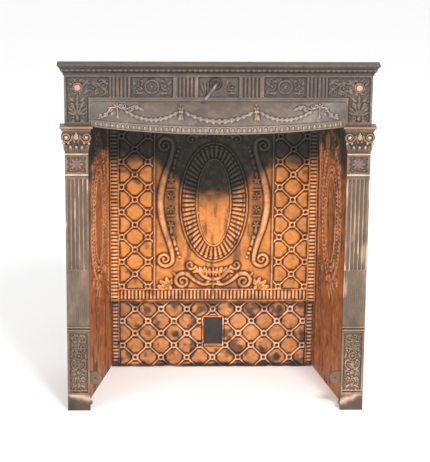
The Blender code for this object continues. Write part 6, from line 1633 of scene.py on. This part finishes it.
# the finishes
class Finish:
    """A node material of ground, ridge, hollow and soot colours with fine uneven texture."""

    def __init__(self, name):
        self.material = bpy.data.materials.new(name)
        self.material.use_nodes = True
        self.tree = self.material.node_tree
        self.tree.nodes.clear()
        self.output = self.node("ShaderNodeOutputMaterial")
        self.shader = self.node("ShaderNodeBsdfPrincipled")
        self.link(self.shader.outputs["BSDF"], self.output.inputs["Surface"])
        self.place = self.node("ShaderNodeTexCoord").outputs["Object"]

    def node(self, kind):
        return self.tree.nodes.new(kind)

    def link(self, source, target):
        self.tree.links.new(source, target)

    def mark(self, name):
        """Read one of the maps that the mesh carries."""
        item = self.node("ShaderNodeAttribute")
        item.attribute_name = name
        return item.outputs["Fac"]

    def noise(self, scale, detail=5.0, rough=0.6, stretch=None, lift=0.0):
        """Grain over the object, from 0 to 1."""
        place = self.place
        if stretch or lift:
            mapping = self.node("ShaderNodeMapping")
            mapping.inputs["Location"].default_value = (lift, lift * 0.7, lift * 1.3)
            mapping.inputs["Scale"].default_value = stretch or (1.0, 1.0, 1.0)
            self.link(place, mapping.inputs["Vector"])
            place = mapping.outputs["Vector"]
        item = self.node("ShaderNodeTexNoise")
        item.inputs["Scale"].default_value = scale
        item.inputs["Detail"].default_value = detail
        item.inputs["Roughness"].default_value = rough
        self.link(place, item.inputs["Vector"])
        return item.outputs["Fac"]

    def range(self, source, low, high, out_low=0.0, out_high=1.0):
        """Spread a value between two limits."""
        item = self.node("ShaderNodeMapRange")
        item.interpolation_type = "SMOOTHSTEP"
        for key, value in (("From Min", low), ("From Max", high), ("To Min", out_low),
                           ("To Max", out_high)):
            item.inputs[key].default_value = value
        self.link(source, item.inputs["Value"])
        return item.outputs["Result"]

    def feed(self, value, socket):
        """Set an input to a number or a colour, or join it to another node."""
        if isinstance(value, tuple):
            socket.default_value = (*value, 1.0)
        elif isinstance(value, (int, float)):
            socket.default_value = value
        else:
            self.link(value, socket)

    def math(self, kind, first, second):
        """One sum on two values."""
        item = self.node("ShaderNodeMath")
        item.operation = kind
        self.feed(first, item.inputs[0])
        self.feed(second, item.inputs[1])
        return item.outputs["Value"]

    def mix(self, share, low, high):
        """Blend two colours by a share."""
        item = self.node("ShaderNodeMix")
        item.data_type = "RGBA"
        for value, key in ((share, 0), (low, 6), (high, 7)):
            self.feed(value, item.inputs[key])
        return item.outputs[2]

    def done(self, colour, rough, metallic, grain, depth):
        """Join colour, roughness, metal and bump to the shader."""
        self.link(colour, self.shader.inputs["Base Color"])
        self.link(rough, self.shader.inputs["Roughness"])
        self.feed(metallic, self.shader.inputs["Metallic"])
        bump = self.node("ShaderNodeBump")
        bump.inputs["Distance"].default_value = depth
        bump.inputs["Strength"].default_value = 0.5
        self.link(grain, bump.inputs["Height"])
        self.link(bump.outputs["Normal"], self.shader.inputs["Normal"])
        return self.material


def toned(colour, factor):
    """A colour made darker or lighter."""
    return tuple(c * factor for c in colour)


def copper_finish(name, ground, ridge, hollow, rust=0.35):
    """Worn copper plating over iron, with soot where the map says, painted highlight on raised places and
    painted shade in hollows.
    """
    f = Finish(name)
    broad = f.noise(9.0, 4.0, 0.6)
    middle = f.noise(60.0, 5.0, 0.65, lift=3.0)
    fine = f.noise(420.0, 4.0, 0.7, lift=7.0)
    deep = toned(ground, 0.66)
    colour = f.mix(f.range(broad, 0.35, 0.66), deep, ground)
    colour = f.mix(f.range(middle, 0.42, 0.72, 0.0, rust), colour, toned(ground, 1.45))
    colour = f.mix(f.range(middle, 0.48, 0.3, 0.0, 0.55), colour, toned(ground, 0.45))
    # Painted highlight on raised places, with rubbed streaks on the side plates
    highlight_and_rubbing = f.math("MULTIPLY", f.mark("ridge"), f.range(middle, 0.3, 0.6, 0.3, 0.95))
    colour = f.mix(highlight_and_rubbing, colour, ridge)
    # Painted shade in hollows, with some grime
    colour = f.mix(f.math("MULTIPLY", f.mark("cavity"), 0.94), colour, hollow)
    colour = f.mix(f.range(fine, 0.56, 0.76, 0.0, 0.4), colour, hollow)
    cloud = f.math("MULTIPLY", f.mark("soot"), f.range(middle, 0.1, 0.45, 0.9, 1.0))
    black = f.mix(f.range(middle, 0.35, 0.7), (0.011, 0.01, 0.008), (0.03, 0.026, 0.02))
    # Under soot, painted highlight on raised places and painted shade in hollows
    black = f.mix(f.math("MULTIPLY", f.mark("ridge"), 0.7), black, (0.085, 0.068, 0.052))
    black = f.mix(f.math("MULTIPLY", f.mark("cavity"), 0.8), black, (0.006, 0.005, 0.004))
    colour = f.mix(cloud, colour, black)
    rough = f.math("ADD", f.range(fine, 0.3, 0.7, 0.44, 0.6), f.math("MULTIPLY", cloud, 0.34))
    metallic = f.math("MULTIPLY", f.math("SUBTRACT", 1.0, cloud), 0.22)
    f.shader.inputs["Specular IOR Level"].default_value = 0.35
    return f.done(colour, rough, metallic, f.math("ADD", middle, f.math("MULTIPLY", fine, 0.6)), 0.0009)


def bronze_finish(name, ground, dark, copper, hollow, rub=(0.4, 0.62), streak=None, share=0.85):
    """Browned iron whose edges are rubbed back to copper in places, with painted highlight on raised
    places and painted shade in hollows.
    """
    f = Finish(name)
    broad = f.noise(7.0, 4.0, 0.6, stretch=streak, lift=1.0)
    middle = f.noise(46.0, 5.0, 0.65, stretch=streak, lift=4.0)
    fine = f.noise(380.0, 4.0, 0.7, lift=9.0)
    colour = f.mix(f.range(broad, 0.34, 0.66), dark, ground)
    colour = f.mix(f.range(middle, 0.42, 0.72, 0.0, 0.55), colour, toned(ground, 1.5))
    # Painted highlight: raised places take a lighter copy of the ground
    colour = f.mix(f.math("MULTIPLY", f.mark("ridge"), 0.62), colour, toned(ground, 2.0))
    rubbed = f.math("MULTIPLY", f.mark("ridge"), f.range(broad, rub[0], rub[1], 0.0, 1.0))
    rubbed = f.math("MULTIPLY", rubbed, f.range(middle, 0.36, 0.58, 0.1, share))
    rubbed = f.math("MAXIMUM", rubbed, f.mark("wear"))
    colour = f.mix(rubbed, colour, copper)
    # Painted shade in hollows, with the dirt that the maps also carry
    colour = f.mix(f.math("MULTIPLY", f.mark("cavity"), 0.88), colour, hollow)
    colour = f.mix(f.range(fine, 0.56, 0.76, 0.0, 0.35), colour, hollow)
    rough = f.range(fine, 0.3, 0.7, 0.42, 0.62)
    return f.done(colour, rough, 0.3, f.math("ADD", middle, f.math("MULTIPLY", fine, 0.7)), 0.0008)


# floor, light and camera
def make_floor():
    """A wide plain pale floor."""
    reach = 20.0
    points = [(-reach, -reach, -0.0002), (reach, -reach, -0.0002), (reach, reach, -0.0002),
              (-reach, reach, -0.0002)]
    mesh = bpy.data.meshes.new("floor")
    mesh.from_pydata(points, [], [(0, 1, 2, 3)])
    item = bpy.data.objects.new("floor", mesh)
    bpy.context.scene.collection.objects.link(item)
    pale = bpy.data.materials.new("pale_floor")
    pale.use_nodes = True
    shader = pale.node_tree.nodes["Principled BSDF"]
    shader.inputs["Base Color"].default_value = (0.9, 0.9, 0.9, 1.0)
    shader.inputs["Roughness"].default_value = 0.9
    shader.inputs["Specular IOR Level"].default_value = 0.2
    mesh.materials.append(pale)


def area_light(name, place, target, size, power):
    """A soft square light that looks at a target."""
    data = bpy.data.lights.new(name, "AREA")
    data.shape = "RECTANGLE"
    data.size, data.size_y = size
    data.energy = power
    item = bpy.data.objects.new(name, data)
    bpy.context.scene.collection.objects.link(item)
    item.location = place
    item.rotation_euler = (Vector(target) - Vector(place)).to_track_quat("-Z", "Y").to_euler()


def make_light():
    """Plain soft studio light from above, the front and both sides."""
    world = bpy.data.worlds.new("studio")
    bpy.context.scene.world = world
    world.use_nodes = True
    ground = world.node_tree.nodes["Background"]
    ground.inputs["Color"].default_value = (1.0, 1.0, 1.0, 1.0)
    ground.inputs["Strength"].default_value = 1.0
    area_light("key", (0.9, -2.7, 3.0), (0.0, 0.0, 0.45), (1.0, 0.8), 118.0)
    area_light("fill", (-2.3, -2.7, 1.4), (0.0, 0.0, 0.45), (1.2, 1.2), 35.0)
    area_light("low", (0.0, -2.6, 0.5), (0.0, 0.1, 0.25), (1.4, 0.6), 22.0)


CAMERA_PLACE = (-0.16875, -5.15215, 2.11785)
CAMERA_ANGLES = (1.857, 17.947, 0.579)
FOCAL_PIXELS = 2100.0
PICTURE_HEIGHT = 462.0
SENSOR = 36.0


def make_camera():
    """The camera at the photo's place."""
    yaw, pitch, roll = (math.radians(angle) for angle in CAMERA_ANGLES)
    ahead = Vector((math.sin(yaw) * math.cos(pitch), math.cos(yaw) * math.cos(pitch), -math.sin(pitch)))
    right = Vector((math.cos(yaw), -math.sin(yaw), 0.0))
    above = right.cross(ahead)
    across = right * math.cos(roll) + above * math.sin(roll)
    upward = above * math.cos(roll) - right * math.sin(roll)
    data = bpy.data.cameras.new("camera")
    data.sensor_fit = "VERTICAL"
    data.sensor_height = SENSOR
    data.sensor_width = SENSOR
    data.lens = FOCAL_PIXELS / PICTURE_HEIGHT * SENSOR
    data.clip_end = 60.0
    item = bpy.data.objects.new("camera", data)
    turn = Matrix((across, upward, -ahead)).transposed().to_4x4()
    item.matrix_world = Matrix.Translation(CAMERA_PLACE) @ turn
    bpy.context.scene.collection.objects.link(item)
    bpy.context.scene.camera = item


def main():
    """Build every piece, its finish and the studio."""
    bpy.context.scene.view_settings.view_transform = "Standard"
    # The copper finishes' ridge colours are painted highlight, with rubbed streaks on the side plates;
    # all hollow colours are painted shade as well as dark grain and dirt
    fireback = copper_finish("worn_copper_plate", (0.56, 0.19, 0.036), (0.88, 0.44, 0.22),
                             (0.03, 0.01, 0.004), 0.45)
    seamed = copper_finish("blotched_copper_plate", (0.48, 0.18, 0.055), (0.84, 0.48, 0.3),
                           (0.026, 0.01, 0.005), 0.45)
    jamb = copper_finish("rusty_copper_plate", (0.34, 0.115, 0.036), (0.64, 0.27, 0.12),
                         (0.035, 0.014, 0.006), 0.55)
    frieze = bronze_finish("browned_iron", (0.064, 0.046, 0.034), (0.038, 0.03, 0.025),
                           (0.36, 0.18, 0.095),
                           (0.01, 0.008, 0.007), rub=(0.5, 0.7), share=0.55)
    leg = bronze_finish("browned_iron_legs", (0.128, 0.078, 0.047), (0.076, 0.054, 0.038),
                        (0.7, 0.48, 0.34),
                        (0.022, 0.015, 0.01), rub=(0.46, 0.68), streak=(1.0, 1.0, 0.35), share=0.6)
    pewter = bronze_finish("pewter_iron", (0.15, 0.112, 0.087), (0.096, 0.08, 0.07), (0.44, 0.31, 0.23),
                           (0.034, 0.031, 0.034), rub=(0.5, 0.7), share=0.5)
    boss = bronze_finish("rubbed_copper", (0.24, 0.14, 0.095), (0.15, 0.09, 0.065), (0.42, 0.27, 0.2),
                         (0.02, 0.013, 0.01), rub=(0.3, 0.6))
    steel = bronze_finish("dark_steel", (0.055, 0.05, 0.047), (0.032, 0.03, 0.029), (0.26, 0.24, 0.23),
                          (0.008, 0.008, 0.008), rub=(0.3, 0.6))
    make_fireback_upper(fireback)
    make_fireback_lower(seamed)
    for side in (1, -1):
        make_jamb(side, jamb)
        make_pilaster(side, leg)
        make_boss(side, boss)
        make_bolt(side, steel)
    make_hood(pewter)
    make_lintel(frieze)
    make_handle(steel)
    make_pipe_cover(steel)
    make_floor()
    make_light()
    make_camera()


main()
